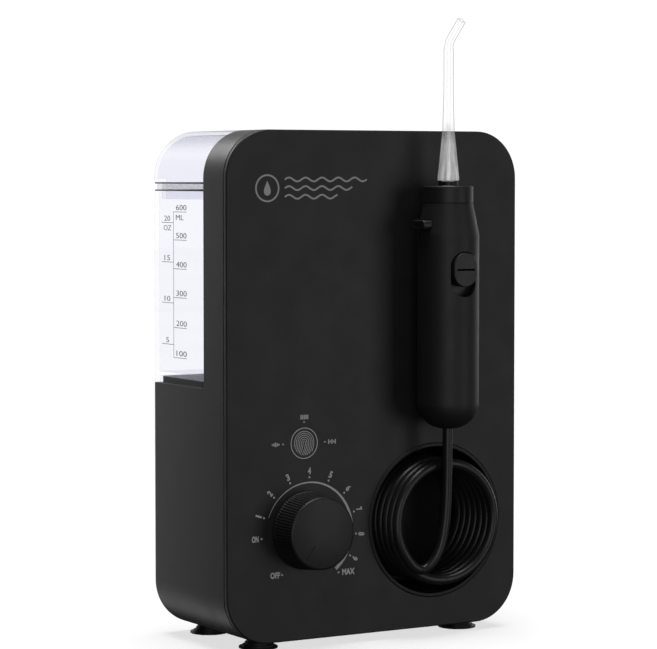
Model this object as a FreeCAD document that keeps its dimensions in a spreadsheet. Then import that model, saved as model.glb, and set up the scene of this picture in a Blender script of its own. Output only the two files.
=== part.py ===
import FreeCAD, Part
import math
import os
import Sketcher

# A countertop water flosser with a tank behind its front plate, a pressure dial, and a corded handle
# that hangs on the plate above the recess that its coiled hose lies in.
# Millimetres. +X is to the right, +Y points to the back and +Z up. The origin is on the standing surface,
# under the middle of the appliance without its hose.

os.makedirs("parts", exist_ok=True)
doc = FreeCAD.newDocument("water_flosser")
Vector = FreeCAD.Vector

# ---------------------------------------------------------------- driving dimensions

DRIVING = {
    # casing; heights are counted from the lower edge of the front plate
    "body_width": 160.8,
    "body_height": 238.0,
    "body_depth": 73.3,
    "corner_radius": 22.5,
    "foot_reach": 4.0,
    "upper_depth": 21.9,
    "base_height": 117.9,
    "casing_wall": 2.4,
    "panel_thickness": 2.2,
    "panel_chamfer": 0.5,
    "seam_width": 0.8,
    "cover_thickness": 3.2,
    "rear_rounding": 2.8,
    "foot_spread": 56.0,
    "front_foot_depth": 14.0,
    "rear_foot_depth": 62.0,
    "gland_reach": 5.0,
    # tank and lid
    "tank_wall": 2.0,
    "tank_gap": 0.4,
    "tank_rim_height": 209.5,
    "lid_base_height": 213.6,
    "plateau_rise": 3.0,
    # hose and its recess
    "well_across": 33.6,
    "well_height": 51.6,
    "well_radius": 35.3,
    "well_rim": 1.9,
    "well_depth": 34.5,
    "hose_diameter": 4.8,
    "coil_radius": 28.1,
    "coil_front": 11.1,
    "coil_back": 27.3,
    # dial and touch pad
    "dial_across": -38.1,
    "dial_height": 51.6,
    "dial_reach": 15.4,
    "dial_face_radius": 17.2,
    "dial_base_radius": 18.5,
    "touch_across": -39.3,
    "touch_height": 92.4,
    "touch_radius": 7.4,
    "lamp_aside": 11.3,
    "lamp_above": 9.9,
    "lamp_radius": 0.5,
    # handle
    "handle_across": 30.8,
    "handle_gap": 0.7,
    "handle_radius": 14.65,
    "handle_wall": 2.2,
    "handle_bottom": 97.2,
    "shoulder_height": 189.0,
    "collar_bottom": 203.9,
    "collar_top": 211.9,
    "collar_radius": 11.8,
    "slot_bottom": 160.0,
    "slot_top": 181.3,
    "slot_width": 14.0,
    "slider_travel": 4.1,
    "slider_proud": 0.55,
    "button_height": 193.65,
    # nozzle
    "shank_radius": 3.05,
    "flare_radius": 5.1,
    "stem_radius": 2.35,
    "nozzle_bend_height": 276.3,
    # pump
    "pump_across": -31.25,
    "pump_depth": 48.0,
    "motor_height": 24.0,
    "crank_throw": 3.0,
    "gear_module": 0.6,
    "pinion_teeth": 12,
    "gear_teeth": 48,
    "rod_length": 24.0,
    "piston_radius": 4.0,
    "crosshead_radius": 7.3,
}


class Size:
    """A length together with the sheet expression that it comes from."""

    def __init__(self, number, text):
        self.number = float(number)
        self.text = text

    def __float__(self):
        return self.number

    def __add__(self, other):
        return Size(self.number + float(other), f"({self.text} + {as_size(other).text})")

    def __sub__(self, other):
        return Size(self.number - float(other), f"({self.text} - {as_size(other).text})")

    def __mul__(self, other):
        return Size(self.number * float(other), f"({self.text} * {as_size(other).text})")

    def __truediv__(self, other):
        return Size(self.number / float(other), f"({self.text} / {as_size(other).text})")

    def __radd__(self, other):
        return as_size(other) + self

    def __rsub__(self, other):
        return as_size(other) - self

    def __rmul__(self, other):
        return as_size(other) * self

    def __neg__(self):
        return as_size(0) - self


def as_size(value):
    return value if isinstance(value, Size) else Size(value, f"{float(value):.6f}")


class Sheet:
    """The spreadsheet with the driving dimensions; each is read as an attribute."""

    def __init__(self, values):
        sheet = doc.addObject("Spreadsheet::Sheet", "Sizes")
        for row, (alias, number) in enumerate(values.items(), start=1):
            sheet.set(f"A{row}", alias)
            sheet.set(f"B{row}", str(number))
            sheet.setAlias(f"B{row}", alias)
            setattr(self, alias, Size(number, f"Sizes.{alias}"))


size = Sheet(DRIVING)
doc.recompute()

# ---------------------------------------------------------------- places shared by several pieces

HALF = size.body_width / 2
FLOOR_GAP = size.foot_reach
TOP = FLOOR_GAP + size.body_height
LEDGE = FLOOR_GAP + size.base_height
PLATEAU = LEDGE + size.plateau_rise
RIM = FLOOR_GAP + size.tank_rim_height
LID_BASE = FLOOR_GAP + size.lid_base_height
# The front plate's face lies so that the whole appliance, from slider to cord gland, is centred on Y.
HANDLE_REACH = size.handle_gap + 2 * size.handle_radius + size.slider_proud
FRONT = (HANDLE_REACH - size.body_depth - size.gland_reach) / 2
BACK = FRONT + size.body_depth
COVER_FRONT = BACK - size.cover_thickness
TANK_FRONT = FRONT + size.upper_depth + size.tank_gap
WELL_Z = FLOOR_GAP + size.well_height
DIAL_Z = FLOOR_GAP + size.dial_height
TOUCH_Z = FLOOR_GAP + size.touch_height
HANDLE_Y = FRONT - size.handle_gap - size.handle_radius
HANDLE_BOTTOM = FLOOR_GAP + size.handle_bottom
PUMP_Y = FRONT + size.pump_depth
GEAR_PITCH_RADIUS = size.gear_module * size.gear_teeth / 2
PINION_PITCH_RADIUS = size.gear_module * size.pinion_teeth / 2
GEAR_Z = size.motor_height + FLOOR_GAP + GEAR_PITCH_RADIUS + PINION_PITCH_RADIUS
MOTOR_Z = size.motor_height + FLOOR_GAP
SMALL_END_Z = GEAR_Z - size.crank_throw + size.rod_length
HOSE_RADIUS = size.hose_diameter / 2
ELBOW_X = size.well_across + size.coil_radius
ELBOW_Z = WELL_Z - 6
COLLAR_Z = FLOOR_GAP + size.collar_bottom
SLIDER_TOP = FLOOR_GAP + size.slot_top - 0.5
SLIDER_LENGTH = 16.1
STEM_Z = SLIDER_TOP - SLIDER_LENGTH / 2
BOARD_FRONT = FRONT + 12
BOARD_BACK = BOARD_FRONT + 1.6
SCREW_PLACES = [(-69.5, 15.5), (69.5, 15.5), (-74.0, 113.0), (74.0, 113.0)]
BOARD_SCREW_PLACES = [(-71.0, 40.0), (-71.0, 109.0), (-12.5, 40.0), (-12.5, 109.0)]
CORD_PLACE = (54.0, 24.0)
MAGNET_HEIGHTS = (134.0, 184.0)
# Bores and screws that several pieces share
LIP = 1.6
SCREW_RADIUS = 1.3
PILOT_RADIUS = 1.35
SCREW_HEAD_SINK = 1.6
SHAFT_RADIUS = 2.98
CRANK_PIN_RADIUS = 1.5
WRIST_PIN_RADIUS = 1.2
TUBE_RADIUS = 4.0
TUBE_BORE = 2.62
BARB_RADIUS = 2.6
JET_BORE = 0.8
HANDLE_BORE = 0.9

# ---------------------------------------------------------------- sketch profiles

pieces = []


def bind(thing, path, value):
    thing.setExpression(path, as_size(value).text)


def dimension(sketch, kind, *arguments):
    """A sketch dimension: its last argument is the size that it is bound to."""
    value = arguments[-1]
    index = sketch.addConstraint(Sketcher.Constraint(kind, *arguments[:-1], float(value)))
    bind(sketch, f"Constraints[{index}]", value)


def circle(across, up, radius):
    """A closed profile: a circle about a point of the sketch."""

    def draw(sketch):
        centre = Vector(float(across), float(up), 0)
        curve = sketch.addGeometry(Part.Circle(centre, Vector(0, 0, 1), float(radius)), False)
        dimension(sketch, "DistanceX", -1, 1, curve, 3, across)
        dimension(sketch, "DistanceY", -1, 1, curve, 3, up)
        dimension(sketch, "Radius", curve, radius)

    return draw


def outline(corners):
    """A closed profile through corners (across, up) or, for a rounded one, (across, up, radius)."""

    def draw(sketch):
        points = [Vector(float(c[0]), float(c[1]), 0) for c in corners]
        count = len(points)
        radii = [c[2] if len(c) > 2 else None for c in corners]
        reach = []
        for i, point in enumerate(points):
            before = (points[i - 1] - point).normalize()
            after = (points[(i + 1) % count] - point).normalize()
            half_turn = (math.pi - before.getAngle(after)) / 2
            reach.append(float(radii[i]) * math.tan(half_turn) if radii[i] is not None else 0.0)
        lines = []
        for i, point in enumerate(points):
            after = points[(i + 1) % count]
            along = (after - point).normalize()
            segment = Part.LineSegment(point + along * reach[i], after - along * reach[(i + 1) % count])
            lines.append(sketch.addGeometry(segment, False))
        for i, point in enumerate(points):
            vertex = sketch.addGeometry(Part.Point(point), True)
            dimension(sketch, "DistanceX", -1, 1, vertex, 1, corners[i][0])
            dimension(sketch, "DistanceY", -1, 1, vertex, 1, corners[i][1])
            if radii[i] is None:
                sketch.addConstraint(Sketcher.Constraint("Coincident", lines[i], 1, vertex, 1))
                sketch.addConstraint(Sketcher.Constraint("Coincident", lines[i - 1], 2, vertex, 1))
                continue
            before = (points[i - 1] - point).normalize()
            after = (points[(i + 1) % count] - point).normalize()
            inwards = (before + after).normalize()
            to_centre = math.hypot(reach[i], float(radii[i]))
            middle = point + inwards * (to_centre - float(radii[i]))
            bend = Part.Arc(point + before * reach[i], middle, point + after * reach[i])
            arc = sketch.addGeometry(bend, False)
            start_is_first = sketch.getPoint(arc, 1).distanceToPoint(point + before * reach[i]) < 1e-6
            first, last = (1, 2) if start_is_first else (2, 1)
            sketch.addConstraint(Sketcher.Constraint("Tangent", lines[i - 1], 2, arc, first))
            sketch.addConstraint(Sketcher.Constraint("Tangent", arc, last, lines[i], 1))
            sketch.addConstraint(Sketcher.Constraint("PointOnObject", vertex, 1, lines[i - 1]))
            sketch.addConstraint(Sketcher.Constraint("PointOnObject", vertex, 1, lines[i]))
            dimension(sketch, "Radius", arc, radii[i])

    return draw


def rectangle(left, bottom, right, top, radius=None):
    corners = [(left, bottom), (right, bottom), (right, top), (left, top)]
    return outline([corner if radius is None else (*corner, radius) for corner in corners])


# ---------------------------------------------------------------- pieces


class Piece:
    """One sub-part: a body whose features are added in order, placed at a point of the appliance."""

    def __init__(self, label, at=(0, 0, 0)):
        self.body = doc.addObject("PartDesign::Body", label)
        self.body.Label = label
        for name, value in zip("xyz", at):
            bind(self.body, f"Placement.Base.{name}", value)
        pieces.append(self.body)

    def add(self, kind, name):
        return self.body.newObject(kind, f"{self.body.Label}_{name}")

    def sketch(self, plane, offset, profiles):
        sketch = self.add("Sketcher::SketchObject", "sketch")
        support = next(f for f in self.body.Origin.OriginFeatures if f.Role == plane + "_Plane")
        sketch.AttachmentSupport = [(support, "")]
        sketch.MapMode = "FlatFace"
        bind(sketch, "AttachmentOffset.Base.z", offset)
        for profile in profiles:
            profile(sketch)
        return sketch

    def pad(self, plane, low, high, *profiles):
        """Material between two places along the normal axis of a plane; XZ sketches face the front."""
        sketch = self.sketch(plane, -as_size(high) if plane == "XZ" else low, profiles)
        feature = self.add("PartDesign::Pad", "pad")
        feature.Profile = sketch
        bind(feature, "Length", high - low)
        return self

    def pocket(self, plane, low, high, *profiles):
        """A cut between two places along the normal axis of a plane."""
        sketch = self.sketch(plane, -as_size(low) if plane == "XZ" else high, profiles)
        feature = self.add("PartDesign::Pocket", "pocket")
        feature.Profile = sketch
        bind(feature, "Length", high - low)
        return self

    def revolve(self, axis, corners, angle=360.0, reverse=False):
        """A turned solid about X (along, radius), Y (along, radius) or Z (radius, along)."""
        plane = "YZ" if axis == "Y" else "XZ"
        sketch = self.sketch(plane, 0, [outline(corners)])
        feature = self.add("PartDesign::Revolution", "turned")
        feature.Profile = sketch
        feature.ReferenceAxis = (sketch, ["V_Axis" if axis == "Z" else "H_Axis"])
        feature.Angle = angle
        feature.Reversed = reverse
        return self

    def dress(self, kind, amount, chosen):
        """A fillet or chamfer on the edges that the test picks, in the piece's own frame."""
        doc.recompute()
        base = self.body.Tip
        names = [f"Edge{n}" for n, edge in enumerate(base.Shape.Edges, start=1) if chosen(edge)]
        if not names:
            raise ValueError(f"{self.body.Label}: no edge to {kind}")
        feature = self.add(f"PartDesign::{kind}", kind.lower())
        feature.Base = (base, names)
        bind(feature, "Size" if kind == "Chamfer" else "Radius", amount)
        return self

    def around(self, count):
        """Repeats the last feature in equal steps about the piece's X axis."""
        last = self.body.Tip
        pattern = self.add("PartDesign::PolarPattern", "pattern")
        pattern.Originals = [last]
        axis = next(f for f in self.body.Origin.OriginFeatures if f.Role == "X_Axis")
        pattern.Axis = (axis, [""])
        pattern.Angle = 360
        bind(pattern, "Occurrences", count)
        self.body.Tip = pattern
        return self


def lies_at(axis, place):
    """True for edges that lie wholly at one place along an axis (0, 1 or 2)."""

    def test(edge):
        box = edge.BoundBox
        low = (box.XMin, box.YMin, box.ZMin)[axis]
        high = (box.XMax, box.YMax, box.ZMax)[axis]
        return abs(low - float(place)) < 1e-3 and abs(high - float(place)) < 1e-3

    return test


def solid(label, shape):
    """A sub-part whose shape no sketch feature gives, such as a swept tube or a coil spring."""
    feature = doc.addObject("Part::Feature", label)
    feature.Label = label
    feature.Shape = shape
    pieces.append(feature)
    return feature


def bent_path(points):
    """Straight runs joined by tangent arcs, each as large as its two runs allow; gives the arcs' radii."""
    corners = [Vector(*[float(c) for c in point]) for point in points]
    edges = []
    radii = []
    start = corners[0]
    for before, corner, after in zip(corners, corners[1:], corners[2:]):
        back = before - corner
        ahead = after - corner
        half_turn = (math.pi - back.getAngle(ahead)) / 2
        reach = 0.45 * min(back.Length, ahead.Length)
        radius = reach / math.tan(half_turn)
        into = corner + Vector(back).normalize() * reach
        out = corner + Vector(ahead).normalize() * reach
        inwards = (Vector(back).normalize() + Vector(ahead).normalize()).normalize()
        middle = corner + inwards * (math.hypot(reach, radius) - radius)
        edges.append(Part.LineSegment(start, into).toShape())
        edges.append(Part.Arc(into, middle, out).toShape())
        radii.append(radius)
        start = out
    edges.append(Part.LineSegment(start, corners[-1]).toShape())
    return Part.Wire(edges), radii


def tube(label, points, outer_radius, bore_radius=0.0):
    """A tube along a bent path."""
    path, radii = bent_path(points)
    start = path.Edges[0].Vertexes[0].Point
    direction = path.Edges[0].tangentAt(path.Edges[0].FirstParameter)

    def sweep(radius):
        section = Part.Wire(Part.makeCircle(radius, start, direction))
        return Part.Wire(path).makePipeShell([section], True, True)

    shape = sweep(float(outer_radius))
    area = math.pi * float(outer_radius) ** 2
    if bore_radius:
        shape = shape.cut(sweep(float(bore_radius)))
        area -= math.pi * float(bore_radius) ** 2
    rounded = ", ".join(f"{radius:.1f}" for radius in radii)
    print(f"{label}: length {path.Length:.1f}, arc radii {rounded}, "
          f"volume {shape.Volume:.1f} against {area * path.Length:.1f}")
    return solid(label, shape)


def spring(label, centre, wire_radius, coil_radius, length, turns):
    """A helical compression spring standing along Z from a point."""
    helix = Part.makeHelix(length / turns, length, coil_radius)
    section = Part.Wire(Part.makeCircle(wire_radius, Vector(coil_radius, 0, 0), Vector(0, 1, 0)))
    shape = Part.Wire(helix).makePipeShell([section], True, True)
    feature = solid(label, shape)
    feature.Placement = FreeCAD.Placement(Vector(*[float(c) for c in centre]), FreeCAD.Rotation())
    return feature


# ---------------------------------------------------------------- casing


def body_outline(inset, low=None, high=None):
    """The casing's front outline, moved in by an inset; its top can be cut straight at a height."""
    left = inset - HALF
    right = HALF - inset
    bottom = low if low is not None else FLOOR_GAP + inset
    radius = size.corner_radius - inset
    lower = [(left, bottom, radius), (right, bottom, radius)]
    if high is not None:
        return outline(lower + [(right, high), (left, high)])
    return outline(lower + [(right, TOP - inset, radius), (left, TOP - inset, radius)])


def front_panel():
    lip_inset = size.casing_wall + 0.15
    back = FRONT + size.panel_thickness
    panel = Piece("front_panel")
    panel.pad("XZ", FRONT, back, body_outline(as_size(0)))
    panel.pad("XZ", back, back + 4, body_outline(lip_inset), body_outline(lip_inset + LIP))
    panel.dress("Chamfer", size.panel_chamfer, lies_at(1, FRONT))
    panel.pad("XZ", back, BOARD_FRONT, *[circle(x, z, 2.6) for x, z in BOARD_SCREW_PLACES])
    panel.pocket("XZ", back + 2, BOARD_FRONT + 1, *[circle(x, z, 1.05) for x, z in BOARD_SCREW_PLACES])
    shaft_hole = circle(size.dial_across, DIAL_Z, 3.7)
    touch_hole = circle(size.touch_across, TOUCH_Z, size.touch_radius + 0.1)
    well_hole = circle(size.well_across, WELL_Z, size.well_radius + size.well_rim + 0.15)
    mode_holes = [circle(x, z, size.lamp_radius + 0.1) for x, z in mode_places()]
    panel.pocket("XZ", FRONT - 1, back + 1, shaft_hole, touch_hole, well_hole, *mode_holes)


def mode_places():
    """The three mode lamps: left of, above and right of the touch pad."""
    return [
        (size.touch_across - size.lamp_aside, TOUCH_Z),
        (size.touch_across, TOUCH_Z + size.lamp_above),
        (size.touch_across + size.lamp_aside, TOUCH_Z),
    ]


def foot_places():
    return [
        (side * size.foot_spread, FRONT + depth)
        for depth in (size.front_foot_depth, size.rear_foot_depth)
        for side in (-1, 1)
    ]


def pump_screw_places():
    return [(size.pump_across + dx, PUMP_Y + dy) for dx in (-16, 10) for dy in (-11, 11)]


def main_housing():
    wall = size.casing_wall
    seam_back = FRONT + size.panel_thickness + size.seam_width
    upper_back = FRONT + size.upper_depth
    housing = Piece("main_housing")
    housing.pad("XZ", seam_back, upper_back, body_outline(as_size(0)))
    housing.pad("XZ", upper_back, COVER_FRONT, body_outline(as_size(0), high=LEDGE))
    housing.pad(
        "XY", LEDGE - 1, PLATEAU,
        rectangle(
            size.tank_wall + 0.5 - HALF, TANK_FRONT + size.tank_wall + 0.5,
            HALF - size.tank_wall - 0.5, COVER_FRONT - 0.4, 3,
        ),
    )
    housing.pocket("XZ", seam_back - 1, upper_back - wall, body_outline(wall))
    housing.pocket("XZ", upper_back - wall - 1, COVER_FRONT + 1, body_outline(wall, high=LEDGE - wall))
    housing.pad("XZ", COVER_FRONT - 9, COVER_FRONT, *[circle(x, z, 4.5) for x, z in SCREW_PLACES])
    cover_pilots = [circle(x, z, PILOT_RADIUS) for x, z in SCREW_PLACES]
    housing.pocket("XZ", COVER_FRONT - 8, COVER_FRONT + 1, *cover_pilots)
    floor = FLOOR_GAP + wall
    housing.pad("XY", floor - 0.4, floor + 2, *[circle(x, y, 4) for x, y in pump_screw_places()])
    pump_pilots = [circle(x, y, PILOT_RADIUS) for x, y in pump_screw_places()]
    housing.pocket("XY", floor - 0.4, floor + 3, *pump_pilots)
    housing.pocket("XY", FLOOR_GAP - 1, floor + 1, *[circle(x, y, 3) for x, y in foot_places()])
    housing.pocket("XY", LEDGE - wall - 1, PLATEAU + 1, circle(size.pump_across, PUMP_Y, 7))


def rear_cover():
    inset = size.casing_wall + 0.15
    cover = Piece("rear_cover")
    cover.pad("XZ", COVER_FRONT, BACK, body_outline(as_size(0), high=LEDGE))
    cover.pad(
        "XZ", COVER_FRONT - 3, COVER_FRONT,
        body_outline(inset, high=LEDGE - inset),
        body_outline(inset + LIP, high=LEDGE - inset - LIP),
    )
    cover.dress("Fillet", size.rear_rounding, lies_at(1, BACK))
    cover.pocket("XZ", COVER_FRONT - 4, BACK + 1, *[circle(x, z, 1.6) for x, z in SCREW_PLACES])
    cover.pocket("XZ", COVER_FRONT - 4, COVER_FRONT, *[circle(x, z, 4.8) for x, z in SCREW_PLACES])
    cover.pocket("XZ", BACK - SCREW_HEAD_SINK, BACK + 1, *[circle(x, z, 3.2) for x, z in SCREW_PLACES])
    cover.pocket("XZ", COVER_FRONT - 1, BACK + 1, circle(*CORD_PLACE, 5.6))


def cover_screws():
    """Four screws with a cross recess in their heads."""
    head = BACK - SCREW_HEAD_SINK
    face = head + 1.4
    screws = Piece("rear_cover_screws")
    screws.pad("XZ", COVER_FRONT - 7.5, head, *[circle(x, z, SCREW_RADIUS) for x, z in SCREW_PLACES])
    screws.pad("XZ", head, face, *[circle(x, z, 2.7) for x, z in SCREW_PLACES])
    for across, up in ((1.5, 0.35), (0.35, 1.5)):
        bars = [rectangle(x - across, z - up, x + across, z + up) for x, z in SCREW_PLACES]
        screws.pocket("XZ", face - 0.9, face + 1, *bars)


def suction_feet():
    """Rubber feet: a flared cup below the casing, a neck through it and a barb above it."""
    top = FLOOR_GAP + size.casing_wall + 0.25
    feet = Piece("suction_feet")
    for x, y in foot_places():
        for low, high, radius in ((0.0, 0.7, 9.2), (0.7, 1.6, 7.6), (1.6, 2.8, 6.4), (2.8, FLOOR_GAP, 5.7)):
            feet.pad("XY", as_size(low), as_size(high), circle(x, y, radius))
        feet.pad("XY", FLOOR_GAP, top, circle(x, y, 2.9))
        feet.pad("XY", top, top + 1.8, circle(x, y, 3.8))


def cord_gland():
    """A bushing in the rear cover with an open bore for a supply cord."""
    gland = Piece("cord_gland", (CORD_PLACE[0], BACK, CORD_PLACE[1]))
    inner = -size.cover_thickness
    gland.revolve("Y", [
        (inner - 3, 3.1), (inner - 3, 7), (inner, 7), (inner, 5.5), (as_size(0), 5.5),
        (as_size(0), 7.6), (1.2, 7.6, 0.5), (size.gland_reach, 5.4, 0.6), (size.gland_reach, 3.1),
    ])


# ---------------------------------------------------------------- hose and its recess


def hose_recess_cup():
    """The round recess; its front edge comes through the plate as a narrow rim."""
    inner = size.well_radius
    outer = size.well_radius + size.well_rim
    back = size.well_depth + 2
    flange = size.panel_thickness
    cup = Piece("hose_recess_cup", (size.well_across, FRONT, WELL_Z))
    cup.revolve("Y", [
        (-0.3, inner, 0.5), (-0.3, outer, 0.5), (flange, outer), (flange, outer + 3),
        (flange + 1.6, outer + 3), (flange + 1.6, outer), (back, outer), (back, 0),
        (size.well_depth, 0), (size.well_depth, inner, 3),
    ])
    cup.pocket("XZ", size.well_depth - 1, back + 1, circle(size.coil_radius, ELBOW_Z - WELL_Z, 3.1))


def hose_elbow():
    """The fitting that takes the hose through the recess's back: its mouth and its rear barb point up."""
    mouth_y = size.coil_back + 3.3
    barb_y = size.pump_depth
    elbow = Piece("hose_elbow", (ELBOW_X, FRONT, ELBOW_Z))
    elbow.pad("XY", as_size(-3.0), as_size(8), circle(0, mouth_y, 3.2))
    elbow.pad("XZ", mouth_y, barb_y, circle(0, 0, 3.0))
    elbow.pad("XY", as_size(-3.0), as_size(12), circle(0, barb_y, BARB_RADIUS))
    elbow.pocket("XY", as_size(0), as_size(9), circle(0, mouth_y, 1.5))
    elbow.pocket("XZ", mouth_y, barb_y, circle(0, 0, 1.5))
    elbow.pocket("XY", as_size(0), as_size(13), circle(0, barb_y, 1.4))


def hose():
    """The coil's outer shape, and the stretch that hangs from the handle down in front of the coil."""
    coil = Piece("hose_coil", (size.well_across, FRONT, WELL_Z))
    outer = circle(0, 0, size.coil_radius + HOSE_RADIUS)
    inner = circle(0, 0, size.coil_radius - HOSE_RADIUS)
    coil.pad("XZ", -size.coil_front, size.coil_back, outer, inner)
    gap = 0.3
    route = [
        (size.handle_across, HANDLE_Y, HANDLE_BOTTOM - gap),
        (size.handle_across - 0.3, HANDLE_Y - 0.2, HANDLE_BOTTOM - 22),
        (size.handle_across - 0.8, HANDLE_Y, HANDLE_BOTTOM - 43),
        (size.handle_across - 4.2, HANDLE_Y + 0.8, HANDLE_BOTTOM - 61),
        (size.handle_across - 14.0, HANDLE_Y + 2.8, HANDLE_BOTTOM - 69.5),
    ]
    tube("hose_hang", route, HOSE_RADIUS)


# ---------------------------------------------------------------- dial and touch pad


def dial_knob():
    """A tapered knob, hollow behind its face, with a boss for the shaft."""
    front = -size.dial_reach
    rear = as_size(-0.6)
    knob = Piece("dial_knob", (size.dial_across, FRONT, DIAL_Z))
    knob.revolve("Y", [
        (front, 0), (front, size.dial_face_radius, 0.8), (-1.8, size.dial_base_radius, 1.2),
        (rear, size.dial_base_radius), (rear, size.dial_base_radius - 2.2),
        (front + 2.4, size.dial_face_radius - 2.2), (front + 2.4, 5.5), (-3.4, 5.5), (-3.4, 0),
    ])
    knob.pocket("XZ", front + 3.4, as_size(-3.0), circle(0, 0, SHAFT_RADIUS + 0.02))


def dial_shaft():
    shaft = Piece("dial_shaft", (size.dial_across, FRONT, DIAL_Z))
    shaft.pad("XZ", -size.dial_reach + 3.4, as_size(4.0), circle(0, 0, SHAFT_RADIUS))


def potentiometer():
    body = Piece("potentiometer", (size.dial_across, FRONT, DIAL_Z))
    body.pad("XZ", size.panel_thickness, as_size(11.2), circle(0, 0, 8.2))
    body.pad("XZ", as_size(-2.2), size.panel_thickness + 0.5, circle(0, 0, 3.5))
    body.pocket("XZ", as_size(-3), as_size(4.3), circle(0, 0, SHAFT_RADIUS + 0.06))


def potentiometer_nut():
    corner = 5.2
    angles = [math.radians(60 * k) for k in range(6)]
    hexagon = [(corner * math.cos(angle), corner * math.sin(angle)) for angle in angles]
    nut = Piece("potentiometer_nut", (size.dial_across, FRONT, DIAL_Z))
    nut.pad("XZ", as_size(-2.0), as_size(0), outline(hexagon), circle(0, 0, 3.55))


def touch_pad():
    """A disc flush in the plate, with a stem that rests on the sensor's spring."""
    pad = Piece("touch_pad", (size.touch_across, FRONT, TOUCH_Z))
    pad.pad("XZ", as_size(-0.2), size.panel_thickness, circle(0, 0, size.touch_radius))
    pad.pad("XZ", size.panel_thickness, size.panel_thickness + 1, circle(0, 0, size.touch_radius + 1.2))


def touch_sensor():
    sensor = Piece("touch_sensor", (size.touch_across, FRONT, TOUCH_Z))
    sensor.pad("XZ", size.panel_thickness + 1, as_size(12), circle(0, 0, 4), circle(0, 0, 3.2))


def mode_light_pipes():
    pipes = Piece("mode_light_pipes")
    pipes.pad("XZ", FRONT - 0.1, FRONT + 11, *[circle(x, z, size.lamp_radius) for x, z in mode_places()])


def control_board():
    board = Piece("control_board")
    board.pad("XZ", BOARD_FRONT, BOARD_BACK, rectangle(-75, 36, -8.5, 113, 1))
    board.pocket("XZ", BOARD_FRONT - 1, BOARD_BACK + 0.4, *[circle(x, z, 1.2) for x, z in BOARD_SCREW_PLACES])
    screws = Piece("board_screws")
    screws.pad("XZ", BOARD_FRONT - 6, BOARD_BACK, *[circle(x, z, 1.0) for x, z in BOARD_SCREW_PLACES])
    screws.pad("XZ", BOARD_BACK, BOARD_BACK + 1.4, *[circle(x, z, 2.1) for x, z in BOARD_SCREW_PLACES])
    parts = Piece("board_components")
    lamps = [rectangle(x - 1.4, z - 1.0, x + 1.4, z + 1.0) for x, z in mode_places()]
    chips = [rectangle(-46, 78, -36, 88), rectangle(-68, 82, -60, 87)]
    capacitors = [circle(-66, 102, 4), circle(-54, 102, 4)]
    connectors = [rectangle(-72, 60, -65, 74), rectangle(-30, 94, -16, 100)]
    parts.pad("XZ", BOARD_FRONT - 1, BOARD_FRONT, *lamps)
    parts.pad("XZ", BOARD_BACK, BOARD_BACK + 1.6, *chips)
    parts.pad("XZ", BOARD_BACK, BOARD_BACK + 11.4, *capacitors)
    parts.pad("XZ", BOARD_BACK, BOARD_BACK + 6.4, *connectors)


def dock_magnets():
    """Two magnets behind the plate that hold the handle."""
    magnets = Piece("dock_magnets")
    back = FRONT + size.panel_thickness
    magnets.pad("XZ", back, back + 4, *[circle(size.handle_across, z, 6) for z in MAGNET_HEIGHTS])


# ---------------------------------------------------------------- pump


def motor():
    """A small direct-current motor lying along X, its shaft towards the gear."""
    plate = size.pump_across - 9.25
    can_front = plate - 2.5
    can = Piece("motor_can", (can_front, PUMP_Y, MOTOR_Z))
    can.revolve("X", [
        (-31, 2.4), (-31, 12.2, 1), (0, 12.2, 1), (0, 1.6),
        (-1.2, 1.6), (-1.2, 11), (-29, 11), (-29, 2.4),
    ])
    cap = Piece("motor_end_cap", (can_front - 31, PUMP_Y, MOTOR_Z))
    cap.revolve("X", [(-2.6, 0), (-2.6, 6, 1), (-1.2, 11, 0.5), (0, 11), (0, 0)])
    shaft = Piece("motor_shaft", (can_front, PUMP_Y, MOTOR_Z))
    shaft.pad("YZ", as_size(-27), as_size(10.6), circle(0, 0, 1))
    shaft.pad("YZ", as_size(-25), as_size(-5), circle(0, 0, 8))


def toothed_wheel(piece, low, high, pitch_radius, teeth, first_angle):
    """A spur gear about X: its root disc and one tooth repeated around it."""
    module = size.gear_module
    root = pitch_radius - 1.25 * module
    tip = pitch_radius + 0.85 * module
    cosine = math.cos(math.radians(first_angle))
    sine = math.sin(math.radians(first_angle))

    def tooth_corner(radius, half_width):
        return (radius * cosine - half_width * sine, radius * sine + half_width * cosine)

    piece.pad("YZ", low, high, circle(0, 0, root))
    piece.pad("YZ", low, high, outline([
        tooth_corner(root - 0.3, as_size(-0.42)),
        tooth_corner(tip, as_size(-0.18)),
        tooth_corner(tip, as_size(0.18)),
        tooth_corner(root - 0.3, as_size(0.42)),
    ]))
    piece.around(teeth)


def gear_train():
    """The pinion meshes with the drive gear from below; the gear carries the crank pin."""
    gear_left = size.pump_across - 7.75
    pinion = Piece("motor_pinion", (gear_left, PUMP_Y, MOTOR_Z))
    toothed_wheel(pinion, as_size(-0.8), as_size(5.4), PINION_PITCH_RADIUS, size.pinion_teeth, 90 + 180 / 12)
    pinion.pocket("YZ", as_size(-2), as_size(7), circle(0, 0, 1.01))
    gear = Piece("drive_gear", (gear_left, PUMP_Y, GEAR_Z))
    toothed_wheel(gear, as_size(0), as_size(4.6), GEAR_PITCH_RADIUS, size.gear_teeth, 90)
    gear.pad("YZ", as_size(4.6), as_size(10), circle(0, -size.crank_throw, CRANK_PIN_RADIUS))
    gear.pocket("YZ", as_size(-1), as_size(4.9), circle(0, 0, 1.56))
    axle = Piece("gear_axle", (gear_left, PUMP_Y, GEAR_Z))
    axle.pad("YZ", as_size(-4), as_size(4.6), circle(0, 0, 1.5))


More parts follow.
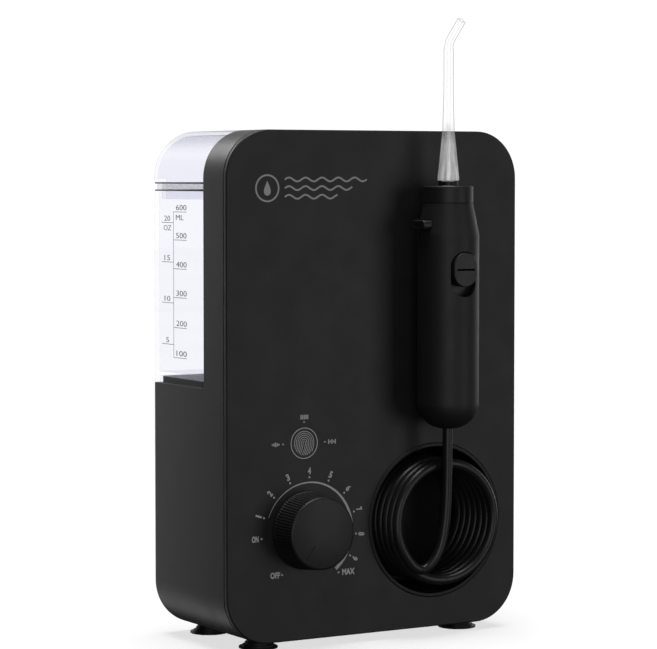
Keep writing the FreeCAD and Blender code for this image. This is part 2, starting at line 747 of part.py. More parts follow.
def connecting_rod():
    """Joins the crank pin, at its lowest point at rest, to the wrist pin inside the piston's skirt."""
    rod = Piece("connecting_rod", (size.pump_across, PUMP_Y, GEAR_Z - size.crank_throw))
    rod.pad("YZ", as_size(-1.75), as_size(1.75), circle(0, 0, 4))
    rod.pad("YZ", as_size(-1.75), as_size(1.75), circle(0, size.rod_length, 2.5))
    rod.pad("YZ", as_size(-1.4), as_size(1.4), rectangle(-1.7, 2, 1.7, size.rod_length - 1))
    big_end = circle(0, 0, CRANK_PIN_RADIUS + 0.06)
    small_end = circle(0, size.rod_length, WRIST_PIN_RADIUS + 0.02)
    rod.pocket("YZ", as_size(-3), as_size(3), big_end, small_end)
    pin = Piece("wrist_pin", (size.pump_across, PUMP_Y, SMALL_END_Z))
    pin.pad("YZ", as_size(-3.3), as_size(3.3), circle(0, 0, WRIST_PIN_RADIUS))


def piston():
    """A plunger on a skirted crosshead; the skirt is hollow so that the rod can swing inside it."""
    body = Piece("piston", (size.pump_across, PUMP_Y, SMALL_END_Z))
    body.revolve("Z", [
        (5.8, -4), (size.crosshead_radius, -4), (size.crosshead_radius, 11.5), (size.piston_radius, 11.5),
        (size.piston_radius, 22), (3.2, 22), (3.2, 24.4), (size.piston_radius, 24.4),
        (size.piston_radius, 26), (0, 26), (0, 9.2), (5.8, 9.2),
    ])
    seal = Piece("piston_seal", (size.pump_across, PUMP_Y, SMALL_END_Z))
    lip = size.piston_radius + 0.12
    seal.revolve("Z", [(3.2, 22.1), (lip, 22.1), (lip, 24.3), (3.2, 24.3)])


def pump_body():
    """The cylinder under a shelf of the frame, and the head with its two valves on top."""
    at = (size.pump_across, PUMP_Y, SMALL_END_Z)
    bore = size.piston_radius + 0.2
    guide = size.crosshead_radius + 0.08
    cylinder = Piece("pump_cylinder", at)
    cylinder.revolve("Z", [
        (guide, -3.5), (8.6, -3.5), (8.6, 21), (6.5, 21), (6.5, 33.5),
        (bore, 33.5), (bore, 18.2), (guide, 18.2),
    ])
    head = Piece("pump_head", at)
    head.pad("XY", as_size(33.5), as_size(41), rectangle(-8.5, -8.5, 8.5, 8.5, 1.5))
    head.pad("XY", as_size(41), as_size(43.5), circle(0, 0, BARB_RADIUS))
    head.pad("YZ", as_size(8.5), as_size(19), circle(0, 37.2, 2.5))
    head.pocket("XY", as_size(33), as_size(39), circle(0, 0, 4.0))
    head.pocket("XY", as_size(38), as_size(45), circle(0, 0, 1.6))
    head.pocket("YZ", as_size(3.5), as_size(20), circle(0, 37.2, 1.4))
    valves = Piece("check_valves", at)
    valves.pad("XY", as_size(37.6), as_size(38.9), circle(0, 0, 3.4))
    valves.pad("YZ", as_size(10), as_size(13), circle(0, 37.2, 1.38))


def pump_frame():
    """A moulded bracket: an upright plate for the motor, a shelf for the pump and a base flange."""
    plate_left = size.pump_across - 11.75
    plate_right = size.pump_across - 9.25
    shelf = SMALL_END_Z + 21
    base = FLOOR_GAP + size.casing_wall + 4.4
    frame = Piece("pump_frame")
    frame.pad("YZ", plate_left, plate_right, rectangle(PUMP_Y - 14, base, PUMP_Y + 14, shelf + 3, 1))
    top_plate = rectangle(plate_left, PUMP_Y - 10, size.pump_across + 10, PUMP_Y + 10, 1)
    frame.pad("XY", shelf, shelf + 3, top_plate)
    flange = rectangle(size.pump_across - 21, PUMP_Y - 15, size.pump_across + 15, PUMP_Y + 15, 2)
    frame.pad("XY", base, base + 2.5, flange)
    frame.pocket("YZ", plate_left - 1, plate_right + 1, circle(PUMP_Y, MOTOR_Z, 4.6))
    frame.pocket("YZ", plate_left - 1, plate_right + 1, circle(PUMP_Y, GEAR_Z, 1.5))
    frame.pocket("XY", shelf - 1, shelf + 4, circle(size.pump_across, PUMP_Y, 6.55))
    frame.pocket("XY", base - 1, base + 4, *[circle(x, y, 1.6) for x, y in pump_screw_places()])


def pump_mounting():
    """Rubber washers under the frame's flange and the screws that hold it down."""
    boss = FLOOR_GAP + size.casing_wall + 2
    flange = boss + 2.4
    places = pump_screw_places()
    washers = Piece("pump_isolators")
    for x, y in places:
        washers.pad("XY", boss, flange, circle(x, y, 4), circle(x, y, 1.6))
    screws = Piece("pump_screws")
    screws.pad("XY", boss - 1.6, flange + 2.5, *[circle(x, y, SCREW_RADIUS) for x, y in places])
    screws.pad("XY", flange + 2.5, flange + 4, *[circle(x, y, 2.6) for x, y in places])


def inner_tubes():
    """The short sleeve from the tank socket, and the tube from the pump head to the hose elbow."""
    sleeve_low = SMALL_END_Z + 41
    sleeve = Piece("inlet_tube", (size.pump_across, PUMP_Y, sleeve_low))
    sleeve.pad("XY", as_size(0), PLATEAU - 10 - sleeve_low, circle(0, 0, 4.2), circle(0, 0, TUBE_BORE))
    level = SMALL_END_Z + 37.2
    tube("outlet_tube", [
        (size.pump_across + 9, PUMP_Y, level),
        (size.pump_across + 44, PUMP_Y, level),
        (ELBOW_X, PUMP_Y, level - 5),
        (ELBOW_X, PUMP_Y, ELBOW_Z + 4),
    ], TUBE_RADIUS, TUBE_BORE)


# ---------------------------------------------------------------- tank, its valve and its lid


def tank_outline(inset, rounding=3.0):
    return rectangle(inset - HALF, TANK_FRONT + inset, HALF - inset, BACK - inset, rounding)


def tank():
    wall = size.tank_wall
    floor_low = PLATEAU + 0.2
    vessel = Piece("tank")
    vessel.pad("XY", LEDGE, RIM, tank_outline(as_size(0)))
    vessel.pocket("XY", floor_low + wall, RIM + 1, tank_outline(wall, 2.0))
    vessel.pocket("XY", LEDGE - 1, floor_low, tank_outline(wall, 2.0))
    vessel.pocket("XY", floor_low - 1, floor_low + wall + 1, circle(size.pump_across, PUMP_Y, 5.0))


def tank_valve():
    """The valve in the tank's floor: a seat with a cage, a sprung poppet and a seal on its spigot."""
    floor_top = PLATEAU + 0.2 + size.tank_wall
    at = (size.pump_across, PUMP_Y, floor_top)
    drop = -(size.tank_wall + 0.2) - 5
    seat = Piece("tank_valve_seat", at)
    seat.revolve("Z", [
        (2.2, drop), (4.9, drop), (4.9, drop + 1.6), (4.3, drop + 1.6), (4.3, drop + 3.2), (4.9, drop + 3.2),
        (4.9, 0), (8, 0), (8, 1.4), (7, 1.4), (7, 11), (2.0, 11),
        (2.0, 9.6), (5.8, 9.6), (5.8, 0.6), (2.2, 0.6),
    ])
    seat.pocket("XZ", as_size(-9), as_size(9), rectangle(-2.5, 2.4, 2.5, 8.4))
    seat.pocket("YZ", as_size(-9), as_size(9), rectangle(-2.5, 2.4, 2.5, 8.4))
    seal = Piece("tank_seal", at)
    seal.revolve("Z", [(4.3, drop + 1.7), (5.5, drop + 1.7), (5.5, drop + 3.1), (4.3, drop + 3.1)])
    poppet = Piece("valve_poppet", at)
    poppet.revolve("Z", [
        (0, -3.6), (1.2, -3.6), (1.2, 0.7), (3.8, 0.7), (3.8, 2.0), (1.2, 2.0), (1.2, 3.0), (0, 3.0),
    ])
    spring("valve_spring", (size.pump_across, PUMP_Y, floor_top + 2.45), 0.3, 2.6, 6.6, 4)


def tank_socket():
    """The cup in the base that the tank's spigot drops into, with a pin under the poppet's stem."""
    socket = Piece("tank_socket", (size.pump_across, PUMP_Y, PLATEAU))
    socket.revolve("Z", [
        (1.6, -13.6), (2.6, -13.6), (2.6, -10), (6.9, -10), (6.9, 0), (5.6, 0), (5.6, -8), (1.6, -8),
    ])
    socket.pad("XZ", as_size(-0.5), as_size(0.5), rectangle(-2.2, -9.6, 2.2, -8.4))
    socket.pad("XY", as_size(-9), as_size(-1.7), circle(0, 0, 0.8))


def tank_lid():
    wall = size.tank_wall
    lid = Piece("tank_lid")
    radius = size.corner_radius
    lid.pad("XZ", TANK_FRONT, BACK, outline([
        (-HALF, LID_BASE), (HALF, LID_BASE), (HALF, TOP, radius), (-HALF, TOP, radius),
    ]))
    lid.dress("Fillet", 2.8, lies_at(1, BACK))
    lid.pocket("XZ", TANK_FRONT + wall, BACK - wall, outline([
        (wall - HALF, LID_BASE + 1.6), (HALF - wall, LID_BASE + 1.6),
        (HALF - wall, TOP - wall, radius - wall), (wall - HALF, TOP - wall, radius - wall),
    ]))
    lid.pad("XY", LID_BASE - 8, LID_BASE + 0.5, tank_outline(wall + 1, 2.0))
    lid.pocket("XY", LID_BASE - 9, LID_BASE + 2, tank_outline(wall + 2.5, 2.0))
    gasket = Piece("lid_gasket")
    gasket.pad("XY", RIM, LID_BASE, tank_outline(as_size(1.2), 2.4), tank_outline(wall + 1, 2.0))


# ---------------------------------------------------------------- handle and nozzle


def handle_shells():
    """Two half shells that meet on the handle's middle plane."""
    radius = size.handle_radius
    wall = size.handle_wall
    neck = size.collar_radius - 0.1
    bottom = HANDLE_BOTTOM
    shoulder = FLOOR_GAP + size.shoulder_height
    section = [
        (1.9, bottom), (radius, bottom, 12.6), (radius, shoulder, 12), (neck, COLLAR_Z),
        (neck - wall, COLLAR_Z), (radius - wall, shoulder - 1, 10),
        (radius - wall, bottom + wall, 10.4), (1.9, bottom + wall),
    ]
    button_z = FLOOR_GAP + size.button_height
    button = rectangle(-5.7, button_z - 2.55, 5.7, button_z + 2.55, 2.3)
    for label, is_front in (("handle_front_shell", True), ("handle_rear_shell", False)):
        shell = Piece(label, (size.handle_across, HANDLE_Y, 0))
        shell.revolve("Z", section, 180.0, is_front)
        shell.pocket("YZ", -radius - 2, -radius + 6, button)
        if is_front:
            slot = rectangle(
                -size.slot_width / 2, FLOOR_GAP + size.slot_bottom, size.slot_width / 2,
                FLOOR_GAP + size.slot_top, size.slot_width / 2 - 0.2,
            )
            shell.pocket("XZ", -radius - 1, as_size(-8), slot)


def switch_slider():
    """An oval button on a plate that keeps the slot closed while it slides."""
    half = size.slot_width / 2 - 0.6
    face = -(size.handle_radius + size.slider_proud)
    slider = Piece("switch_slider", (size.handle_across, HANDLE_Y, 0))
    button = rectangle(-half, SLIDER_TOP - SLIDER_LENGTH, half, SLIDER_TOP, half - 0.15)
    slider.pad("XZ", face, as_size(-8.9), button)
    plate_low = FLOOR_GAP + size.slot_bottom - 1.2
    plate_high = FLOOR_GAP + size.slot_top + size.slider_travel + 1.2
    slider.pad("XZ", as_size(-8.9), as_size(-7.4), rectangle(-7.4, plate_low, 7.4, plate_high, 1.5))
    slider.pad("XZ", as_size(-7.4), as_size(-1.5), circle(0, STEM_Z, 1.4))
    slider.dress("Fillet", 0.5, lies_at(1, face))
    slider.pocket("XZ", face - 1, face + 0.9, rectangle(-4.9, STEM_Z - 0.55, 4.9, STEM_Z + 0.55))


def shutoff_valve():
    """The valve that the slider's stem works, with a window for the stem's travel."""
    valve = Piece("shutoff_valve", (size.handle_across, HANDLE_Y, 0))
    valve.pad("XY", STEM_Z - 14, STEM_Z + 9, rectangle(-5.5, -5, 5.5, 7, 1.5))
    valve.pad("XY", STEM_Z + 9, COLLAR_Z - 18, circle(0, 0, BARB_RADIUS))
    window = rectangle(-1.9, STEM_Z - size.slider_travel - 2, 1.9, STEM_Z + 2)
    valve.pocket("XZ", as_size(-6), as_size(0), window)


def handle_tubes():
    """The hose barb at the bottom and the tube from it up to the valve."""
    bore = circle(0, 0, HANDLE_BORE)
    tubes = Piece("handle_tube", (size.handle_across, HANDLE_Y, 0))
    tubes.pad("XY", HANDLE_BOTTOM + 0.2, HANDLE_BOTTOM + 3, circle(0, 0, 1.6), bore)
    tubes.pad("XY", HANDLE_BOTTOM + 2.5, STEM_Z - 14, circle(0, 0, 3.2), bore)


def handle_plates():
    """Steel strips in the rear shell that the dock's magnets hold."""
    plates = Piece("handle_steel_plates", (size.handle_across, HANDLE_Y, 0))
    plates.pad("XZ", as_size(9.6), as_size(11.0), rectangle(-5, 122, 5, 146), rectangle(-5, 168, 5, 186))


def nozzle_receiver():
    """The socket that holds the nozzle's shank, with a seal in a groove near its bottom."""
    socket = size.shank_radius + 0.1
    lip = size.shank_radius + 0.08
    receiver = Piece("nozzle_receiver", (size.handle_across, HANDLE_Y, COLLAR_Z))
    receiver.revolve("Z", [
        (1.5, -18), (5.2, -18), (5.2, -7), (9.2, -7), (9.2, -0.3), (7, -0.3), (7, 6), (socket, 6),
        (socket, -13), (4.4, -13), (4.4, -14.6), (socket, -14.6), (socket, -16.4), (1.5, -16.4),
    ])
    seal = Piece("receiver_seal", (size.handle_across, HANDLE_Y, COLLAR_Z))
    seal.revolve("Z", [(lip, -14.5), (4.35, -14.5), (4.35, -13.1), (lip, -13.1)])


def eject_button():
    """A side button at the shoulder that lets the nozzle go; it is sprung outwards."""
    at = (size.handle_across, HANDLE_Y, FLOOR_GAP + size.button_height)
    button = Piece("eject_button", at)
    outer = -size.handle_radius - 2.45
    plate = as_size(-8.3)
    button.pad("YZ", outer, plate, rectangle(-5.4, -2.3, 5.4, 2.3, 2.15))
    button.pad("YZ", plate, plate + 1.2, rectangle(-6.3, -2.75, 6.3, 2.75, 1))
    button.dress("Fillet", 0.6, lies_at(0, outer))
    button.pocket("YZ", outer - 1, outer + 0.5, rectangle(-3.9, -1.1, 3.9, 1.1, 1))
    button.pocket("YZ", plate - 5.7, plate + 2, circle(0, 0, 1.7))
    coil = Piece("button_spring", at)
    coil.pad("YZ", plate - 5.7, plate + 1.1, circle(0, 0, 1.6), circle(0, 0, 1.2))


def nozzle_collar():
    """The ring at the handle's top that turns the nozzle."""
    height = size.collar_top - size.collar_bottom
    collar = Piece("nozzle_collar", (size.handle_across, HANDLE_Y, COLLAR_Z))
    collar.revolve("Z", [
        (7.35, 0.25), (size.collar_radius, 0.25), (size.collar_radius, height, 0.7), (5.2, height, 0.4),
        (5.2, height - 1.6), (7.35, height - 1.6),
    ])


def nozzle():
    """A clear tip: shank in the receiver, flared root, slim stem and a bent end with a fine jet."""
    top = FLOOR_GAP + size.collar_top
    flare = 2.6
    bend = FLOOR_GAP + size.nozzle_bend_height
    shank = size.shank_radius
    at = (size.handle_across, HANDLE_Y, top)
    stem_start = bend - top
    tip = Piece("nozzle", at)
    tip.revolve("Z", [
        (1.0, -24), (shank, -24), (shank, flare - 0.3),
        (size.flare_radius, flare), (size.flare_radius, flare + 1.4),
        (2.9, 26), (size.stem_radius, 44), (size.stem_radius, stem_start),
        (JET_BORE, stem_start), (JET_BORE, 26), (1.0, 20),
    ])
    angle = math.radians(34)
    bend_radius = 9.0
    run = 10.2
    knee = Vector(bend_radius * (1 - math.cos(angle)), 0, bend_radius * math.sin(angle))
    end = knee + Vector(math.sin(angle), 0, math.cos(angle)) * run
    spine = tip.add("Sketcher::SketchObject", "spine")
    support = next(f for f in tip.body.Origin.OriginFeatures if f.Role == "XZ_Plane")
    spine.AttachmentSupport = [(support, "")]
    spine.MapMode = "FlatFace"
    lift = Vector(0, float(stem_start), 0)
    half = Vector(bend_radius * (1 - math.cos(angle / 2)), bend_radius * math.sin(angle / 2), 0)
    arc_end = lift + Vector(knee.x, knee.z, 0)
    spine.addGeometry(Part.Arc(lift, lift + half, arc_end), False)
    spine.addGeometry(Part.LineSegment(arc_end, lift + Vector(end.x, end.z, 0)), False)
    ring = tip.sketch("XY", stem_start, [circle(0, 0, size.stem_radius - 0.25), circle(0, 0, JET_BORE)])
    pipe = tip.add("PartDesign::AdditivePipe", "bent_end")
    pipe.Profile = ring
    pipe.Spine = (spine, ["Edge1", "Edge2"])
    root_ring = Piece("nozzle_ring", at)
    bore = shank + 0.03
    root_ring.revolve("Z", [(bore, 0.1), (4.7, 0.1), (4.7, 2.2), (bore, 2.2)])


# ---------------------------------------------------------------- the whole appliance

MAKERS = [
    front_panel, main_housing, rear_cover, cover_screws, suction_feet, cord_gland,
    hose_recess_cup, hose_elbow, hose,
    dial_knob, dial_shaft, potentiometer, potentiometer_nut, touch_pad, touch_sensor, mode_light_pipes,
    control_board, dock_magnets,
    motor, gear_train, connecting_rod, piston, pump_body, pump_frame, pump_mounting, inner_tubes,
    tank, tank_valve, tank_socket, tank_lid,
    handle_shells, switch_slider, shutoff_valve, handle_tubes, handle_plates, nozzle_receiver,
    eject_button, nozzle_collar, nozzle,
]

for make in MAKERS:
    make()
doc.recompute()

faults = [f"{item.Label}: {item.State}" for item in doc.Objects if {"Invalid", "Error"} & set(item.State)]
for piece in pieces:
    if piece.Shape.isNull() or not piece.Shape.isValid() or not piece.Shape.Solids:
        faults.append(f"{piece.Label}: no valid shape")
if faults:
    raise RuntimeError("; ".join(faults))
for piece in pieces:
    piece.Shape.exportStep(f"parts/{piece.Label}.step")
    box = piece.Shape.BoundBox
    print(f"{piece.Label}: {len(piece.Shape.Solids)} solid, {piece.Shape.Volume:.1f} mm3, "
          f"x {box.XMin:.1f} {box.XMax:.1f}, y {box.YMin:.1f} {box.YMax:.1f}, "
          f"z {box.ZMin:.1f} {box.ZMax:.1f}")
print(len(pieces), "pieces")
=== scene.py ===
import math

import bmesh
import bpy
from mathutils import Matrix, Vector


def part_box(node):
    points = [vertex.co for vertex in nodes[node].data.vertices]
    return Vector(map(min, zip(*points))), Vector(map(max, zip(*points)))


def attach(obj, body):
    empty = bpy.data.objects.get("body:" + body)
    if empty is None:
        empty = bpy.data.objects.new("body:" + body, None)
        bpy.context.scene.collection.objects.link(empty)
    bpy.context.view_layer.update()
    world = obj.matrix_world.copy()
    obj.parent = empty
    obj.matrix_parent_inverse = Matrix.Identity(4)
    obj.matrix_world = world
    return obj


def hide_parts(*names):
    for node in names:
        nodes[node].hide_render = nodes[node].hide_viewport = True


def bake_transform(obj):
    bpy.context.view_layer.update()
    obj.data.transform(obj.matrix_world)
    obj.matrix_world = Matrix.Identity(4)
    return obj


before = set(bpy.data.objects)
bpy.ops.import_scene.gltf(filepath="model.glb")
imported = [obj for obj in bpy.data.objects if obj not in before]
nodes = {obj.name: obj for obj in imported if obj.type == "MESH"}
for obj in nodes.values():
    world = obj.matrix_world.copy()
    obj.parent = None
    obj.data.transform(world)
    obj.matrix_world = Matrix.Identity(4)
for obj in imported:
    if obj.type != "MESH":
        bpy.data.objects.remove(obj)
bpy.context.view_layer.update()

# The looks of a countertop water flosser around its imported CAD frame: materials for every CAD node, the
# knurled dial, the printed marks, a painted shade in the slider's groove, the gasket's lips, the hose and
# the tank valve's spring.
# Metres, in the frame of the part. An azimuth of 0 lies towards -Y, where the front plate faces.

MM = 0.001

panel_low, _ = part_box("front_panel")
PANEL_Y = panel_low.y
PANEL_BOTTOM = panel_low.z
knob_low, knob_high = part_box("dial_knob")
DIAL = (knob_low + knob_high) / 2
pad_low, pad_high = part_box("touch_pad")
TOUCH = (pad_low + pad_high) / 2
tank_low, tank_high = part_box("tank")
TANK_SIDE = tank_low.x
coil_low, coil_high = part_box("hose_coil")
COIL = (coil_low + coil_high) / 2
slider_low, slider_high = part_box("switch_slider")


def put_in_scene(item):
    bpy.context.scene.collection.objects.link(item)


def face_from(item, azimuth, elevation, distance, target):
    """Stands a camera or a light off a target, in a direction in degrees, and turns it to the target."""
    a, e = math.radians(azimuth), math.radians(elevation)
    back = Vector((math.sin(a) * math.cos(e), -math.cos(a) * math.cos(e), math.sin(e)))
    item.location = Vector(target) + back * distance
    item.rotation_mode = "QUATERNION"
    item.rotation_quaternion = (-back).to_track_quat("-Z", "Y")


# ---------------------------------------------------------------- camera

AZIMUTH = -31.12
ELEVATION = 3.2475
DISTANCE = 1.2340
FOCAL = 144.78
# A point of the front plate, a little left of and above its middle.
TARGET = (-0.02597, PANEL_Y, PANEL_BOTTOM + 0.14735)


def add_camera():
    data = bpy.data.cameras.new("camera")
    data.sensor_width = 36
    data.lens = FOCAL
    data.clip_end = 50
    camera = bpy.data.objects.new("camera", data)
    put_in_scene(camera)
    bpy.context.scene.camera = camera
    face_from(camera, AZIMUTH, ELEVATION, DISTANCE, TARGET)


add_camera()

# ---------------------------------------------------------------- meshes


def mesh_object(name, vertices, faces, smooth=True):
    mesh = bpy.data.meshes.new(name)
    mesh.from_pydata([tuple(v) for v in vertices], [], faces)
    mesh.validate()
    mesh.update()
    for polygon in mesh.polygons:
        polygon.use_smooth = smooth
    piece = bpy.data.objects.new(name, mesh)
    put_in_scene(piece)
    return piece


def finish_piece(piece, body, material):
    piece.data.materials.clear()
    piece.data.materials.append(material)
    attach(piece, body)


def sharp_by_angle(piece, degrees):
    """Keeps the edges steeper than an angle crisp in smooth shading."""
    piece.data.set_sharp_from_angle(angle=math.radians(degrees))


# ---------------------------------------------------------------- materials


class Nodes:
    """A material whose shader nodes are added and joined by short calls."""

    def __init__(self, name):
        self.material = bpy.data.materials.new(name)
        self.material.use_nodes = True
        self.tree = self.material.node_tree
        self.shader = self.tree.nodes["Principled BSDF"]
        self.place = self.add("ShaderNodeTexCoord").outputs["Object"]

    def add(self, kind, **settings):
        node = self.tree.nodes.new(kind)
        for name, value in settings.items():
            if hasattr(node, name):
                setattr(node, name, value)
            else:
                node.inputs[name.replace("_", " ")].default_value = value
        return node

    def join(self, output, target):
        self.tree.links.new(output, target)

    def set(self, **values):
        for name, value in values.items():
            self.shader.inputs[name.replace("_", " ")].default_value = value

    def feed(self, socket, output):
        """Joins an output to one of the shader's own sockets."""
        self.join(output, self.shader.inputs[socket])

    def stretch(self, scale):
        """Scales the coordinates that later noise is made from."""
        mapping = self.add("ShaderNodeMapping", Scale=scale)
        self.join(self.place, mapping.inputs["Vector"])
        self.place = mapping.outputs["Vector"]

    def noise(self, scale, detail=3.0, roughness=0.55):
        node = self.add("ShaderNodeTexNoise", Scale=scale, Detail=detail, Roughness=roughness)
        self.join(self.place, node.inputs["Vector"])
        return node.outputs["Fac"]

    def spread(self, value, low, high, from_low=0.3, from_high=0.7):
        """Maps a value from one range to another. The default first range is the one that noise fills."""
        node = self.add("ShaderNodeMapRange", From_Min=from_low, From_Max=from_high, To_Min=low, To_Max=high)
        self.join(value, node.inputs["Value"])
        return node.outputs["Result"]

    def blend(self, factor, first, second):
        """Mixes two colours by a factor from 0 to 1."""
        node = self.add("ShaderNodeMix", data_type="RGBA")
        self.join(factor, node.inputs["Factor"])
        colours = [socket for socket in node.inputs if socket.type == "RGBA"]
        colours[0].default_value = (*first, 1)
        colours[1].default_value = (*second, 1)
        return next(socket for socket in node.outputs if socket.type == "RGBA")

    def bump(self, height, strength, distance, normal=None):
        node = self.add("ShaderNodeBump", Strength=strength, Distance=distance)
        self.join(height, node.inputs["Height"])
        if normal is not None:
            self.join(normal, node.inputs["Normal"])
        return node.outputs["Normal"]

    def slant(self, blend, low, high, start, end):
        """Goes from low where a face is seen straight on to high where it is seen edge on."""
        facing = self.add("ShaderNodeLayerWeight", Blend=blend).outputs["Facing"]
        return self.spread(facing, low, high, start, end)


def shade(colour, factor):
    return tuple(min(1.0, channel * factor) for channel in colour)


def moulded(name, colour, roughness, grain=0.10, grain_size=2600.0, edge=0.0, **values):
    """Moulded plastic or rubber: fine spark-eroded grain, faint blotches of colour and gloss, soft edges."""
    n = Nodes(name)
    blotches = n.spread(n.noise(38.0, 2.0), 0, 1)
    n.feed("Base Color", n.blend(blotches, shade(colour, 0.90), shade(colour, 1.12)))
    n.feed("Roughness", n.spread(n.noise(75.0, 5.0), roughness - 0.035, roughness + 0.035))
    soft = n.add("ShaderNodeBevel", samples=4, Radius=edge).outputs["Normal"] if edge else None
    n.feed("Normal", n.bump(n.noise(grain_size, 2.0), grain, 0.0002, soft))
    n.set(**values)
    return n.material


def metal(name, colour, roughness, brushed=(1, 1, 1)):
    """Turned or drawn metal with fine lines along one direction."""
    n = Nodes(name)
    n.stretch(brushed)
    lines = n.noise(1200.0, 4.0)
    n.feed("Base Color", n.blend(n.spread(lines, 0, 1), shade(colour, 0.8), shade(colour, 1.1)))
    n.feed("Roughness", n.spread(lines, roughness - 0.06, roughness + 0.08))
    n.feed("Normal", n.bump(lines, 0.15, 0.0001))
    n.set(Metallic=1.0)
    return n.material


def clear(name, colour, alpha, edge_alpha, roughness):
    """Clear moulded plastic: thinner face on, denser where the wall is seen at a slant."""
    n = Nodes(name)
    haze = n.noise(55.0, 4.0)
    n.feed("Base Color", n.blend(n.spread(haze, 0, 1), shade(colour, 0.97), colour))
    n.feed("Roughness", n.spread(haze, roughness * 0.8, roughness * 1.25))
    n.feed("Alpha", n.slant(0.35, alpha, edge_alpha, 0.25, 1.0))
    n.feed("Normal", n.bump(n.noise(160.0, 2.0), 0.04, 0.0003))
    n.set(IOR=1.46)
    return n.material


def see_through(n, share, tint):
    """Puts a tinting pass-through under the plastic's own shading, which keeps only its share."""
    tinting = n.add("ShaderNodeBsdfTransparent")
    n.join(tint, tinting.inputs["Color"])
    mix = n.add("ShaderNodeMixShader")
    for socket, output in enumerate((share, tinting.outputs[0], n.shader.outputs[0])):
        n.join(output, mix.inputs[socket])
    n.join(mix.outputs[0], n.tree.nodes["Material Output"].inputs["Surface"])


def tinted(name, tint, edge, share, roughness):
    """Clear moulded plastic: an even tint face on, darker and glossier where its wall is at a slant."""
    n = Nodes(name)
    haze = n.noise(60.0, 3.0)
    n.feed("Base Color", n.blend(n.spread(haze, 0, 1), (0.72, 0.72, 0.78), (0.80, 0.80, 0.86)))
    n.feed("Roughness", n.spread(haze, roughness * 0.7, roughness * 1.3))
    n.feed("Normal", n.bump(n.noise(160.0, 2.0), 0.04, 0.0003))
    slant = n.slant(0.5, 0, 1, 0.6, 1.0)
    see_through(n, n.spread(slant, share, share * 4, 0, 1), n.blend(slant, tint, edge))
    return n.material


def nozzle_plastic():
    """Clear along the nozzle's stem, with drawn streaks that turn milky in its flared foot, where the
    streaks also glow faintly: painted light, since the nozzle is no lamp.
    """
    n = Nodes("nozzle_clear")
    n.stretch((1, 1, 0.04))
    streaks = n.noise(700.0, 2.0)
    even_streaks = n.spread(streaks, 0, 1)
    n.feed("Base Color", n.blend(even_streaks, (0.80, 0.80, 0.80), (0.95, 0.95, 0.95)))
    n.feed("Roughness", n.spread(streaks, 0.05, 0.15))
    n.feed("Normal", n.bump(streaks, 0.05, 0.0001))
    # Painted light: the strongest streaks feed a faint emission, so the nozzle glows though it is no lamp.
    glow_streaks = n.spread(streaks, 0, 1, 0.35, 0.6)
    n.feed("Emission Color", n.blend(glow_streaks, (0.3, 0.3, 0.3), (1, 1, 1)))
    n.set(Emission_Strength=0.22)
    height = n.add("ShaderNodeSeparateXYZ")
    n.join(n.tree.nodes["Texture Coordinate"].outputs["Generated"], height.inputs["Vector"])
    # The milky share also carries that emission, so the painted glow shows in the foot and hardly at all in
    # the stem.
    milky = n.add("ShaderNodeMath", operation="MULTIPLY")
    n.join(n.spread(height.outputs["Z"], 0.55, 0.01, 0.42, 0.53), milky.inputs[0])
    n.join(n.spread(streaks, 0.5, 1.1), milky.inputs[1])
    tint = n.blend(n.slant(0.5, 0, 1, 0.4, 1.0), (0.995, 0.998, 1.0), (0.28, 0.29, 0.30))
    see_through(n, milky.outputs[0], tint)
    return n.material


def ink(name, colour):
    """Screen-printed ink: slightly uneven in colour and gloss."""
    n = Nodes(name)
    grain = n.noise(4200.0, 3.0)
    n.feed("Base Color", n.blend(n.spread(grain, 0, 1), shade(colour, 0.9), shade(colour, 1.05)))
    n.feed("Roughness", n.spread(grain, 0.42, 0.6))
    n.feed("Normal", n.bump(grain, 0.15, 0.00005))
    return n.material


BLACK = dict(Specular_IOR_Level=0.30)
PANEL_BLACK = moulded("panel_black", (0.0095, 0.0095, 0.0097), 0.46, 0.10, edge=0.0003, **BLACK)
HOUSING_BLACK = moulded("housing_black", (0.0100, 0.0102, 0.0108), 0.40, 0.10, edge=0.0003, **BLACK)
RECESS_BLACK = moulded("recess_black", (0.0060, 0.0060, 0.0062), 0.50, 0.10, **BLACK)
HANDLE_BLACK = moulded("handle_black", (0.0095, 0.0095, 0.0097), 0.52, 0.08, edge=0.0002, **BLACK)
CONTROL_BLACK = moulded("control_black", (0.0090, 0.0090, 0.0092), 0.42, 0.06, **BLACK)
COLLAR_BLACK = moulded("collar_black", (0.0090, 0.0090, 0.0092), 0.48, 0.04, **BLACK)
HOSE_BLACK = moulded("hose_black", (0.0100, 0.0100, 0.0102), 0.34, 0.05, 1500.0, **BLACK)
FOOT_BLACK = moulded("foot_black", (0.0080, 0.0080, 0.0080), 0.55, 0.2, 900.0, **BLACK)
SEAL_BLACK = moulded("seal_black", (0.012, 0.012, 0.012), 0.6, 0.2, 900.0)
LINE_GREY = moulded("line_grey", (0.022, 0.022, 0.025), 0.5, 0.1, 900.0)
GASKET_GREY = tinted("gasket_grey", (0.95, 0.95, 0.96), (0.6, 0.6, 0.62), 0.12, 0.4)
TUBE_MILKY = moulded("tube_milky", (0.62, 0.64, 0.64), 0.3, 0.03, 700.0)
GEAR_WHITE = moulded("gear_white", (0.70, 0.68, 0.63), 0.4, 0.05)
PUMP_GREY = moulded("pump_grey", (0.50, 0.51, 0.52), 0.42, 0.06)
FRAME_GREY = moulded("frame_grey", (0.05, 0.05, 0.053), 0.5, 0.12)
BOARD_GREEN = moulded("board_green", (0.010, 0.085, 0.030), 0.35, 0.05, 700.0)
PARTS_BLACK = moulded("parts_black", (0.012, 0.012, 0.013), 0.45, 0.08)
STEEL = metal("steel", (0.55, 0.55, 0.56), 0.32, (1, 0.05, 1))
BRASS = metal("brass", (0.68, 0.48, 0.22), 0.3, (1, 0.05, 1))
